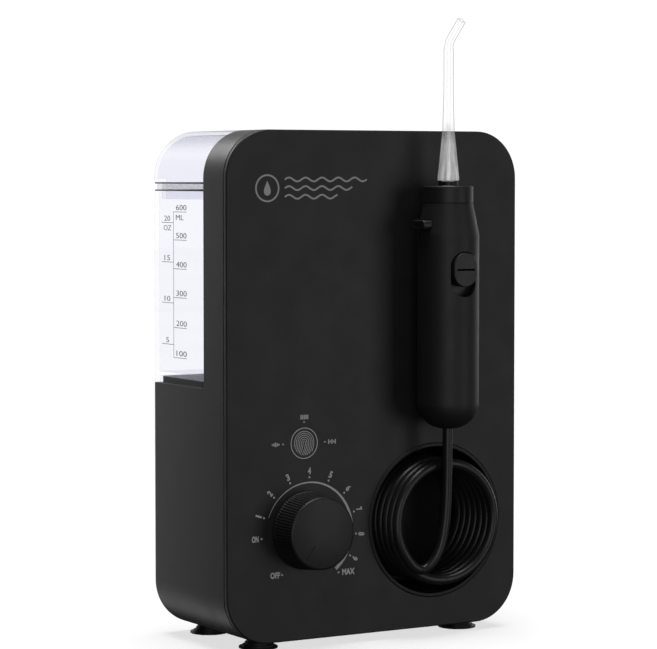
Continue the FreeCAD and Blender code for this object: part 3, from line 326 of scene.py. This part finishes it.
ARMATURE = metal("armature", (0.45, 0.25, 0.14), 0.38, (0.05, 1, 1))
MAGNET = metal("magnet", (0.42, 0.42, 0.43), 0.25)
TANK_CLEAR = tinted("tank_clear", (0.982, 0.982, 0.998), (0.80, 0.80, 0.84), 0.02, 0.12)
LID_CLEAR = tinted("lid_clear", (0.968, 0.968, 0.990), (0.62, 0.62, 0.67), 0.03, 0.16)
NOZZLE_CLEAR = nozzle_plastic()
PIPE_CLEAR = clear("pipe_clear", (0.30, 0.30, 0.31), 0.7, 0.9, 0.2)
# Painted shade: near black and nearly glossless, laid in the slider's groove to stand in for its shadow.
GROOVE_PAINTED_SHADE = moulded("groove_shade_paint", (0.0015, 0.0015, 0.0015), 0.6, Specular_IOR_Level=0.02)
INK_WHITE = ink("ink_white", (0.36, 0.36, 0.36))
INK_GREY = ink("ink_grey", (0.30, 0.30, 0.30))
INK_SCALE = ink("ink_scale", (0.30, 0.30, 0.33))

LOOKS = {
    PANEL_BLACK: ["front_panel"],
    HOUSING_BLACK: ["main_housing", "rear_cover"],
    RECESS_BLACK: ["hose_recess_cup"],
    CONTROL_BLACK: ["hose_elbow", "dial_knob", "touch_pad", "tank_valve_seat", "switch_slider",
                    "eject_button", "nozzle_ring"],
    HANDLE_BLACK: ["handle_front_shell", "handle_rear_shell"],
    COLLAR_BLACK: ["nozzle_collar"],
    HOSE_BLACK: ["hose_coil", "hose_hang"],
    FOOT_BLACK: ["suction_feet", "cord_gland"],
    SEAL_BLACK: ["piston_seal", "check_valves", "pump_isolators", "tank_seal", "receiver_seal"],
    GASKET_GREY: ["lid_gasket"],
    TUBE_MILKY: ["valve_poppet", "inlet_tube", "outlet_tube", "handle_tube"],
    GEAR_WHITE: ["drive_gear", "connecting_rod", "piston"],
    PUMP_GREY: ["pump_cylinder", "pump_head", "shutoff_valve"],
    FRAME_GREY: ["motor_end_cap", "pump_frame", "tank_socket", "nozzle_receiver"],
    BOARD_GREEN: ["control_board"],
    PARTS_BLACK: ["board_components"],
    STEEL: ["rear_cover_screws", "potentiometer", "touch_sensor", "board_screws", "motor_can", "gear_axle",
            "pump_screws", "wrist_pin", "valve_spring", "handle_steel_plates", "button_spring"],
    BRASS: ["dial_shaft", "potentiometer_nut", "motor_pinion"],
    ARMATURE: ["motor_shaft"],
    MAGNET: ["dock_magnets"],
    TANK_CLEAR: ["tank"],
    LID_CLEAR: ["tank_lid"],
    NOZZLE_CLEAR: ["nozzle"],
    PIPE_CLEAR: ["mode_light_pipes"],
}


def dress_nodes():
    """Gives every CAD node its material."""
    for material, names in LOOKS.items():
        for name in names:
            mesh = nodes[name].data
            mesh.materials.clear()
            mesh.materials.append(material)
    undressed = set(nodes) - {name for names in LOOKS.values() for name in names}
    if undressed:
        raise ValueError(f"no material for {sorted(undressed)}")


dress_nodes()

# ---------------------------------------------------------------- knob

RIDGES = 80
RIDGE_STEPS = 4
RIDGE_DEPTH = 0.0005
POINTER_ANGLE = math.radians(-142)
POINTER_REACH = (0.0070, 0.0150)
POINTER_HALF_WIDTH = 0.00018
POINTER_DEPTH = 0.00045


def revolved(name, profile, steps, depth):
    """A closed mesh turned about the dial's axis. The profile's corners are (distance from the plate along
    Y, radius, 1 where it is ridged)."""
    vertices = []
    for along, radius, ridged in profile:
        for k in range(steps):
            a = 2 * math.pi * k / steps
            r = radius - (depth(k) if ridged else 0.0)
            vertices.append((DIAL.x + r * math.sin(a), PANEL_Y + along, DIAL.z + r * math.cos(a)))
    faces = []
    for row in range(len(profile) - 1):
        for k in range(steps):
            j = (k + 1) % steps
            low, high = row * steps, (row + 1) * steps
            faces.append((low + k, high + k, high + j, low + j))
    last = (len(profile) - 1) * steps
    faces.append(tuple(range(steps)))
    faces.append(tuple(reversed(range(last, last + steps))))
    return mesh_object(name, vertices, faces)


def ridge(step):
    """How deep the knurl lies at a step around the knob: rounded crests and narrow grooves."""
    return RIDGE_DEPTH * (0.0, 0.25, 1.0, 0.25)[step % RIDGE_STEPS]


def pointer_cutter():
    """A slim bar across the outer half of the knob's face."""
    along = Vector((math.sin(POINTER_ANGLE), 0, math.cos(POINTER_ANGLE)))
    across = Vector((along.z, 0, -along.x))
    inwards = Vector((0, 1, 0))
    face = Vector((DIAL.x, knob_low.y, DIAL.z))
    corners = []
    start, end = POINTER_REACH
    for depth in (-0.001, POINTER_DEPTH):
        for reach, side in ((start, -1), (end, -1), (end, 1), (start, 1)):
            corners.append(face + along * reach + across * side * POINTER_HALF_WIDTH + inwards * depth)
    sides = [(0, 1, 5, 4), (1, 2, 6, 5), (2, 3, 7, 6), (3, 0, 4, 7), (3, 2, 1, 0), (4, 5, 6, 7)]
    return mesh_object("pointer_cutter", corners, sides, False)


def carve(piece, cutter):
    """Takes the cutter's shape out of the piece and removes the cutter."""
    for item in (piece, cutter):
        mesh = bmesh.new()
        mesh.from_mesh(item.data)
        bmesh.ops.recalc_face_normals(mesh, faces=mesh.faces)
        mesh.to_mesh(item.data)
        mesh.free()
    modifier = piece.modifiers.new("carve", "BOOLEAN")
    modifier.operation = "DIFFERENCE"
    modifier.solver = "EXACT"
    modifier.object = cutter
    bpy.context.view_layer.update()
    result = bpy.data.meshes.new_from_object(piece.evaluated_get(bpy.context.evaluated_depsgraph_get()))
    piece.modifiers.clear()
    piece.data = result
    bpy.data.objects.remove(cutter)


def add_knob():
    """The dial's knob: fine straight ridges around its taper and a pointer cut into its face."""
    front = knob_low.y - PANEL_Y
    rear = knob_high.y - PANEL_Y
    base = (knob_high.x - knob_low.x) / 2
    face = base - 0.0013
    profile = [
        (front, 0.0006, 0), (front, face - 0.0012, 0), (front + 0.0001, face - 0.0009, 0),
        (front + 0.0007, face - 0.0003, 0), (front + 0.0009, face - 0.00015, 1),
        (rear - 0.0014, base - 0.0002, 1), (rear - 0.0011, base - 0.0001, 0), (rear - 0.0002, base, 0),
        (rear, base - 0.0003, 0), (rear, base - 0.0022, 0), (front + 0.0024, face - 0.0022, 0),
        (front + 0.0024, 0.0055, 0), (-0.0034, 0.0055, 0), (-0.0034, 0.0032, 0), (-0.0115, 0.0032, 0),
        (-0.0115, 0.0006, 0),
    ]
    knob = revolved("knurled_knob", profile, RIDGES * RIDGE_STEPS, ridge)
    carve(knob, pointer_cutter())
    sharp_by_angle(knob, 28)
    finish_piece(knob, "dial", CONTROL_BLACK)
    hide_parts("dial_knob")


add_knob()

# ---------------------------------------------------------------- printed marks, and painted shade in the slider's groove

INK_PROUD = 0.00003
INK_SUNK = 0.00004
GROOVE_DEPTH = 0.0009


def on_plate(across, up, proud):
    return Vector((across, PANEL_Y - proud, up))


def on_touch_pad(across, up, proud):
    return Vector((TOUCH.x + across, pad_low.y - proud, TOUCH.z + up))


def in_groove(across, up, proud):
    """On the floor of the groove across the slider's middle."""
    return Vector((across, slider_low.y + GROOVE_DEPTH - proud, up))


def on_tank(across, up, proud):
    """On the tank's left side, where the back is to the viewer's left."""
    return Vector((TANK_SIDE - proud, -across, up))


class Print:
    """Flat marks on one face of the appliance, gathered and built as one thin closed mesh."""

    def __init__(self, name, place, body, material):
        self.name, self.place, self.body, self.material = name, place, body, material
        self.points, self.faces = [], []

    def patch(self, points, faces=None):
        """One face around the points, or the faces given by their places in the list."""
        first = len(self.points)
        self.points += [tuple(p)[:2] for p in points]
        self.faces += [tuple(first + i for i in f) for f in faces or [range(len(points))]]

    def dot(self, across, up, radius, sides=20):
        angles = [2 * math.pi * k / sides for k in range(sides)]
        self.patch([(across + radius * math.cos(a), up + radius * math.sin(a)) for a in angles])

    def stroke(self, points, widths):
        """A line of one width, or of a width for each of its points."""
        points = [Vector(p) for p in points]
        if not isinstance(widths, (list, tuple)):
            widths = [widths] * len(points)
        edge = []
        for i, point in enumerate(points):
            ahead = (points[min(i + 1, len(points) - 1)] - points[max(i - 1, 0)]).normalized()
            aside = Vector((-ahead.y, ahead.x)) * widths[i] / 2
            edge += [point + aside, point - aside]
        self.patch(edge, [(2 * i, 2 * i + 1, 2 * i + 3, 2 * i + 2) for i in range(len(points) - 1)])

    def arc(self, across, up, radius, start, end, first_width, last_width=None, steps=64):
        """An arc between two clock angles in degrees, its width changing evenly."""
        last_width = first_width if last_width is None else last_width
        points, widths = [], []
        for k in range(steps + 1):
            a = math.radians(start + (end - start) * k / steps)
            points.append((across + radius * math.sin(a), up + radius * math.cos(a)))
            widths.append(first_width + (last_width - first_width) * k / steps)
        self.stroke(points, widths)

    def text(self, words, across, up, width, height, turn=0.0, weight=0.02):
        """Words in a box of a given size about a point, turned clockwise by an angle in degrees."""
        curve = bpy.data.curves.new("words", "FONT")
        curve.body = words
        curve.offset = weight
        curve.resolution_u = 3
        holder = bpy.data.objects.new("words", curve)
        put_in_scene(holder)
        bpy.context.view_layer.update()
        mesh = bpy.data.meshes.new_from_object(holder)
        xs = [v.co.x for v in mesh.vertices]
        ys = [v.co.y for v in mesh.vertices]
        middle = Vector(((min(xs) + max(xs)) / 2, (min(ys) + max(ys)) / 2))
        scale = Vector((width / (max(xs) - min(xs)), height / (max(ys) - min(ys))))
        a = math.radians(turn)
        points = []
        for v in mesh.vertices:
            x = (v.co.x - middle.x) * scale.x
            y = (v.co.y - middle.y) * scale.y
            right, rise = x * math.cos(a) + y * math.sin(a), y * math.cos(a) - x * math.sin(a)
            points.append((across + right, up + rise))
        self.patch(points, [tuple(p.vertices) for p in mesh.polygons])
        bpy.data.objects.remove(holder)
        bpy.data.meshes.remove(mesh)

    def build(self):
        """Thickens the faces into a closed mesh that rides its body."""
        mesh = bmesh.new()
        corners = [mesh.verts.new(self.place(u, v, INK_PROUD)) for u, v in self.points]
        for face in self.faces:
            mesh.faces.new([corners[i] for i in face])
        bmesh.ops.remove_doubles(mesh, verts=mesh.verts, dist=1e-7)
        sunk = self.place(0, 0, -INK_SUNK) - self.place(0, 0, INK_PROUD)
        grown = bmesh.ops.extrude_face_region(mesh, geom=list(mesh.faces), use_keep_orig=True)["geom"]
        bmesh.ops.translate(mesh, vec=sunk, verts=[g for g in grown if isinstance(g, bmesh.types.BMVert)])
        bmesh.ops.recalc_face_normals(mesh, faces=mesh.faces)
        data = bpy.data.meshes.new(self.name)
        mesh.to_mesh(data)
        mesh.free()
        piece = bpy.data.objects.new(self.name, data)
        put_in_scene(piece)
        data.materials.append(self.material)
        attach(piece, self.body)


DOT_RADIUS = 0.0005


def around_dial(angle, radius):
    """A point on the plate about the printed scale's middle, which sits just beside the knob's."""
    a = math.radians(angle)
    return DIAL.x + 0.0017 + radius * math.sin(a), DIAL.z - 0.0010 + radius * math.cos(a)


def add_dial_print():
    """Nine numbered steps between ON and MAX, a dot at each, and a band that widens with the pressure."""
    marks = Print("dial_print", on_plate, "base_unit", INK_WHITE)
    dots, digits, band = 0.0257, 0.0287, 0.0233
    # Each word with its dot's angle and radius, the word's place beside the dot, and its width.
    words = {
        "OFF": (-142.3, 0.0241, -0.0037, 0.0052),
        "ON": (-93.4, dots, -0.0034, 0.0036),
        "MAX": (141.8, dots, 0.0055, 0.0070),
    }
    for word, (angle, radius, aside, width) in words.items():
        across, up = around_dial(angle, radius)
        marks.dot(across, up, DOT_RADIUS)
        marks.text(word, across + aside, up, width, 0.0030, weight=0.045)
    first, apart = -71.6, 23.9
    for k in range(9):
        angle = first + apart * k
        marks.dot(*around_dial(angle, dots), DOT_RADIUS)
        width = 0.0009 if k == 0 else 0.0017
        marks.text(str(k + 1), *around_dial(angle, digits), width, 0.0033, angle, 0.04)
    marks.arc(*around_dial(0, 0), band, -70, 142, 0.00015, 0.0017, 120)
    marks.build()


def add_touch_print():
    """A ring and nested finger ridges on the touch pad."""
    marks = Print("touch_print", on_touch_pad, "base_unit", INK_WHITE)
    marks.arc(0, 0, 0.00712, 0, 360, 0.00042, steps=72)
    middle, widest = 0.0004, 0.0058
    quarter = 12
    for k in range(6):
        radius = 0.0006 + 0.00092 * k
        path = []
        for step in range(-2 * quarter, 2 * quarter + 1):
            if abs(step) <= quarter:
                a = math.radians(step * 90 / quarter)
                point = Vector((radius * math.sin(a), middle + radius * math.cos(a)))
            else:
                drop = (abs(step) - quarter) * 0.0005
                point = Vector((math.copysign(radius, step) - 55 * drop * drop, middle - drop))
            if point.length < widest:
                path.append(point)
        marks.stroke(path, 0.00030)
    marks.build()


def add_mode_print():
    """A spray pattern beside each mode lamp: soft, steady and pulsed, as short bars."""
    marks = Print("mode_print", on_plate, "base_unit", INK_WHITE)
    lamp_aside, lamp_above = 0.0113, 0.0099
    bar_gap, bar_width, tallest = 0.00090, 0.00062, 0.0021
    patterns = {
        (-lamp_aside - 0.0039, 0.0): (0.4, 0.7, 1.0, 0.7, 0.4),
        (0.0002, lamp_above + 0.0023): (1.0, 1.0, 1.0, 1.0, 1.0),
        (lamp_aside + 0.0039, 0.0): (1.0, 0.4, 1.0, 0.4, 1.0),
    }
    for (across, up), bars in patterns.items():
        for k, height in enumerate(bars):
            x = TOUCH.x + across + (k - 2) * bar_gap
            half = tallest / 2 * height
            marks.stroke([(x, TOUCH.z + up - half), (x, TOUCH.z + up + half)], bar_width)
    marks.build()


def add_emblem():
    """A plain drop in a ring, with three waves beside it."""
    marks = Print("front_emblem", on_plate, "base_unit", INK_GREY)
    across, up = -0.0588, PANEL_BOTTOM + 0.2110
    line = 0.0008
    marks.arc(across, up, 0.0060, 0, 360, line, steps=72)
    drop = []
    for k in range(40):
        a = 2 * math.pi * k / 40
        pinch = math.sin(a / 2) ** 1.6
        drop.append((across + 0.0026 * math.sin(a) * pinch, up + 0.0035 * math.cos(a) + 0.0001))
    marks.patch(drop)
    start, row_gap, wave_height, wave_length = -0.0495, 0.0040, 0.0009, 0.0089
    for row, end in enumerate((-0.0050, -0.0130, -0.0210)):
        level = up + row_gap * (1 - row)
        steps = round((end - start) / 0.0004)
        wave = []
        for k in range(steps + 1):
            x = start + (end - start) * k / steps
            wave.append((x, level + wave_height * math.sin((x - start) * 2 * math.pi / wave_length)))
        marks.stroke(wave, line)
    marks.build()


def add_tank_scale():
    """Millilitres to the right of an upright line on the tank's side and fluid ounces to its left."""
    marks = Print("tank_scale", on_tank, "tank_unit", INK_SCALE)
    line = 0.00028

    def across(depth):
        return -(PANEL_Y + depth * MM)

    def up(height):
        return PANEL_BOTTOM + height * MM

    # Depths behind the front plate's face and heights above its lower edge, in millimetres.
    spine, ml_end, oz_end = 51.5, 38.5, 63.5
    top, bottom = 199.7, 130.7
    marks.stroke([(across(spine), up(bottom)), (across(spine), up(top))], line)
    millilitres = {600: top, 500: 186.5, 400: 172.9, 300: 159.3, 200: 145.1, 100: 130.9}
    for number, height in millilitres.items():
        marks.stroke([(across(spine), up(height)), (across(ml_end), up(height))], line)
        marks.text(str(number), across(43.6), up(height + 2.1), 0.0104, 0.0026, weight=0.0)
    marks.text("ML", across(45.2), up(millilitres[600] - 2.6), 0.0076, 0.0025, weight=0.0)
    ounces = {20: 194.6, 15: 175.9, 10: 156.6, 5: 136.9}
    for number, height in ounces.items():
        marks.stroke([(across(spine), up(height)), (across(oz_end), up(height))], line)
        width = 0.0058 if number > 5 else 0.0028
        marks.text(str(number), across(57.8), up(height + 2.0), width, 0.0025, weight=0.0)
    marks.text("OZ", across(57.6), up(ounces[20] - 2.5), 0.0075, 0.0025, weight=0.0)
    marks.build()


def add_slider_groove_shade():
    """A near-black strip on the floor of the slider's groove: painted shade that stands in for the groove's
    shadow.
    """
    marks = Print("painted_shadow_in_groove", in_groove, "switch", GROOVE_PAINTED_SHADE)
    middle, height = (slider_low.x + slider_high.x) / 2, 0.17675
    reach, width = 0.0047, 0.0009
    marks.stroke([(middle - reach, height), (middle + reach, height)], width)
    marks.build()


# All of these are print except the slider groove's strip, which is painted shade.
for make in (add_dial_print, add_touch_print, add_mode_print, add_emblem, add_tank_scale, add_slider_groove_shade):
    make()

# ---------------------------------------------------------------- seal lips between tank and lid


def rounded_loop(low, high, inset, radius, steps=8):
    """A rounded rectangle in plan, as points, between two corners moved in by an inset."""
    x0, x1 = low.x + inset, high.x - inset
    y0, y1 = low.y + inset, high.y - inset
    loop = []
    for cx, cy, start in ((x1 - radius, y1 - radius, 0), (x0 + radius, y1 - radius, 90),
                          (x0 + radius, y0 + radius, 180), (x1 - radius, y0 + radius, 270)):
        for k in range(steps + 1):
            a = math.radians(start + 90 * k / steps)
            loop.append((cx + radius * math.cos(a), cy + radius * math.sin(a)))
    return loop


def add_seal_lips():
    """The gasket's two thin dark lips, one on the tank's rim and one under the lid."""
    gasket_low, gasket_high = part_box("lid_gasket")
    thick, gap = 0.0006, 0.00003
    vertices, faces = [], []
    outer = rounded_loop(tank_low, tank_high, 0.00025, 0.0028)
    inner = rounded_loop(tank_low, tank_high, 0.0016, 0.0020)
    count = len(outer)
    for bottom in (gasket_low.z + gap, gasket_high.z - gap - thick):
        top = bottom + thick
        first = len(vertices)
        for loop, height in ((outer, bottom), (outer, top), (inner, top), (inner, bottom)):
            vertices += [(x, y, height) for x, y in loop]
        for ring in range(4):
            here, there = first + ring * count, first + (ring + 1) % 4 * count
            for k in range(count):
                after = (k + 1) % count
                faces.append((here + k, here + after, there + after, there + k))
    lips = mesh_object("gasket_lips", vertices, faces, False)
    finish_piece(lips, "lid_unit", LINE_GREY)


add_seal_lips()

# ---------------------------------------------------------------- hose

HOSE_DIAMETER = 0.0048
COIL_RADIUS = 0.0281
COIL_START = 45.0
COIL_TURNS = 7.5
COIL_FRONT = -0.0111
POINTS_PER_TURN = 16
# The route of the hanging stretch, from inside the handle's end down across the recess.
HANG = [
    (0.0308, -0.0392, 0.1022),
    (0.0306, -0.0393, 0.0880),
    (0.0305, -0.0394, 0.0792),
    (0.0300, -0.0392, 0.0582),
    (0.0266, -0.0384, 0.0402),
    (0.0168, -0.0364, 0.0317),
]


def coil_point(angle, depth, radius):
    """A point of the coil. The angle in degrees runs from the lowest point to the left and up, and the
    depth from the plate's face to the back."""
    a = math.radians(angle)
    return Vector((
        COIL.x - radius * math.sin(a),
        PANEL_Y + depth,
        COIL.z - radius * math.cos(a),
    ))


def hose_points():
    """The hang, then turns going deeper into the recess, then the way down into the elbow's mouth."""
    points = [Vector(p) for p in HANG]
    step = 360 / POINTS_PER_TURN
    reach = COIL_RADIUS / math.cos(math.radians(step / 2))
    for k in range(round(COIL_TURNS * POINTS_PER_TURN) + 1):
        turned = k * step
        depth = COIL_FRONT + HOSE_DIAMETER * turned / 360
        points.append(coil_point(COIL_START + step + turned, depth, reach))
    mouth_low, mouth_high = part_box("hose_elbow")
    mouth_y = mouth_low.y + 0.0032
    mouth_x = (mouth_low.x + mouth_high.x) / 2
    points.append(Vector((mouth_x, mouth_y, COIL.z + 0.008)))
    points.append(Vector((mouth_x, mouth_y, COIL.z - 0.001)))
    return points


def smooth_line(points):
    """The points that a NURBS line with these control points goes through."""
    curve = bpy.data.curves.new("line", "CURVE")
    curve.dimensions = "3D"
    curve.resolution_u = 10
    spline = curve.splines.new("NURBS")
    spline.points.add(len(points) - 1)
    for target, point in zip(spline.points, points):
        target.co = (*point, 1)
    spline.order_u = 3
    spline.use_endpoint_u = True
    holder = bpy.data.objects.new("line", curve)
    put_in_scene(holder)
    bpy.context.view_layer.update()
    mesh = bpy.data.meshes.new_from_object(holder)
    line = [v.co.copy() for v in mesh.vertices]
    bpy.data.objects.remove(holder)
    bpy.data.meshes.remove(mesh)
    return [p for i, p in enumerate(line) if i == 0 or (p - line[i - 1]).length > 1e-6]


def tube_mesh(name, line, radius, sides=20):
    """A round tube along a line, closed at both ends, its rings carried along without twist."""
    vertices = []
    side = None
    for i, point in enumerate(line):
        ahead = (line[min(i + 1, len(line) - 1)] - line[max(i - 1, 0)]).normalized()
        side = ahead.orthogonal() if side is None else side - ahead * side.dot(ahead)
        side.normalize()
        up = ahead.cross(side)
        for k in range(sides):
            a = 2 * math.pi * k / sides
            vertices.append(point + (side * math.cos(a) + up * math.sin(a)) * radius)
    faces = []
    for i in range(len(line) - 1):
        for k in range(sides):
            j = (k + 1) % sides
            faces.append((i * sides + k, i * sides + j, (i + 1) * sides + j, (i + 1) * sides + k))
    last = (len(line) - 1) * sides
    faces.append(tuple(reversed(range(sides))))
    faces.append(tuple(last + k for k in range(sides)))
    return mesh_object(name, vertices, faces)


def add_hose_piece(name, line, *stands_for):
    piece = tube_mesh(name, line, HOSE_DIAMETER / 2)
    sharp_by_angle(piece, 60)
    piece.data.materials.append(HOSE_BLACK)
    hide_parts(*stands_for)
    return piece


def add_hose():
    """The hanging stretch, which starts inside the handle's end, and the coil it leads into."""
    line = smooth_line(hose_points())
    lowest_hang = Vector(HANG[-1])
    split = min(range(len(line)), key=lambda i: (line[i] - lowest_hang).length)
    hang, coil = line[:split + 1], line[split:]
    hanging = add_hose_piece("hose_hanging", hang, "hose_hang")
    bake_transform(hanging)
    coiled = add_hose_piece("hose_coiled", coil, "hose_coil")
    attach(coiled, "base_unit")


add_hose()

# ---------------------------------------------------------------- valve spring

SPRING_WIRE = 0.0003
SPRING_TURNS = 4
SPRING_STEPS = 24


def add_valve_spring():
    """Stands on the poppet and bears on the valve seat."""
    low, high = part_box("valve_spring")
    middle = (low + high) / 2
    radius = (high.x - low.x) / 2 - SPRING_WIRE
    line = []
    count = SPRING_TURNS * SPRING_STEPS
    for k in range(count + 1):
        a = 2 * math.pi * k / SPRING_STEPS
        z = low.z + SPRING_WIRE + (high.z - low.z - 2 * SPRING_WIRE) * k / count
        line.append(Vector((middle.x + radius * math.cos(a), middle.y + radius * math.sin(a), z)))
    coil = tube_mesh("valve_spring_coil", line, SPRING_WIRE, 10)
    coil.data.materials.append(STEEL)
    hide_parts("valve_spring")
    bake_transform(coil)


add_valve_spring()

# ---------------------------------------------------------------- stage

FLOOR_SIDE = 6.0
AMBIENT = 0.03
WHITE = 1.06
OVERHEAD = 3.78
OVERHEAD_ANGLE = math.radians(40)
# The part of the floor's light that the appliance shades.
FLOOR_SHADE = 0.3


def add_floor():
    side = FLOOR_SIDE
    corners = [(-side, -side, 0), (side, -side, 0), (side, side, 0), (-side, side, 0)]
    floor = mesh_object("floor", corners, [(0, 1, 2, 3)], False)
    n = Nodes("floor_white")
    n.feed("Base Color", n.blend(n.spread(n.noise(3.0), 0, 1), (0.88, 0.88, 0.88), (0.91, 0.91, 0.91)))
    n.set(Roughness=0.8)
    floor.data.materials.append(n.material)
    floor.visible_diffuse = False
    floor.visible_glossy = False
    floor.visible_shadow = False
    return floor


def add_world():
    """White for the eye and dim as a source of light."""
    world = bpy.data.worlds.new("studio")
    bpy.context.scene.world = world
    world.use_nodes = True
    tree = world.node_tree
    background = tree.nodes["Background"]
    background.inputs["Color"].default_value = (1, 1, 1, 1)
    rays = tree.nodes.new("ShaderNodeLightPath")
    strength = tree.nodes.new("ShaderNodeMapRange")
    strength.inputs["To Min"].default_value = AMBIENT
    strength.inputs["To Max"].default_value = WHITE
    tree.links.new(rays.outputs["Is Camera Ray"], strength.inputs["Value"])
    tree.links.new(strength.outputs["Result"], background.inputs["Strength"])


def linked(name, state, item):
    """A collection for light linking that includes or excludes one object."""
    collection = bpy.data.collections.new(name)
    collection.objects.link(item)
    collection.collection_objects[0].light_linking.link_state = state
    return collection


def add_light(name, kind, power, receivers):
    """A light that reaches only its receivers and isn't seen through clear plastic."""
    data = bpy.data.lights.new(name, kind)
    data.energy = power
    light = bpy.data.objects.new(name, data)
    put_in_scene(light)
    light.visible_transmission = False
    light.light_linking.receiver_collection = receivers
    return light


def add_overhead(name, power, receivers):
    """Wide light from straight above."""
    light = add_light(name, "SUN", power, receivers)
    light.data.angle = OVERHEAD_ANGLE
    light.location = (0, 0, 2)
    return light


def add_area(name, receivers, azimuth, elevation, distance, size, power, target=(0, 0, 0.13)):
    """A soft rectangular light that faces the appliance."""
    light = add_light(name, "AREA", power, receivers)
    light.data.shape = "RECTANGLE"
    light.data.size, light.data.size_y = size
    light.visible_camera = False
    face_from(light, azimuth, elevation, distance, target)


def add_lights(floor):
    """Soft lights around the appliance, which leave out the floor, and two that light only the floor."""
    appliance = linked("all_but_floor", "EXCLUDE", floor)
    add_overhead("overhead", OVERHEAD, appliance)
    add_area("key_right", appliance, 31, 0, 1.3, (0.6, 1.0), 2.9)
    add_area("fill_left", appliance, -26, 3, 1.3, (0.8, 0.9), 4.2)
    add_area("side_card", appliance, -165, 0, 0.22, (0.08, 0.7), 0.24, target=(-0.08, 0.06, 0.10))
    add_area("rim_right", appliance, 95, 5, 1.3, (0.5, 0.8), 1.2)
    add_area("back_left", appliance, -165, 35, 1.4, (0.6, 0.5), 3.6)
    add_area("backdrop", appliance, 149, 8, 1.6, (2.2, 1.0), 6.5)
    add_area("rear_soft", appliance, 180, 12, 1.5, (1.0, 0.8), 4.0)
    add_area("rear_right", appliance, 122, 12, 1.4, (0.8, 0.8), 3.5)
    floor_only = linked("floor_only", "INCLUDE", floor)
    add_overhead("floor_shaded", OVERHEAD * FLOOR_SHADE, floor_only)
    even = add_overhead("floor_even", OVERHEAD * (1 - FLOOR_SHADE), floor_only)
    even.light_linking.blocker_collection = linked("no_shadows", "INCLUDE", floor)


floor = add_floor()
add_world()
add_lights(floor)
bpy.context.scene.view_settings.view_transform = "Standard"
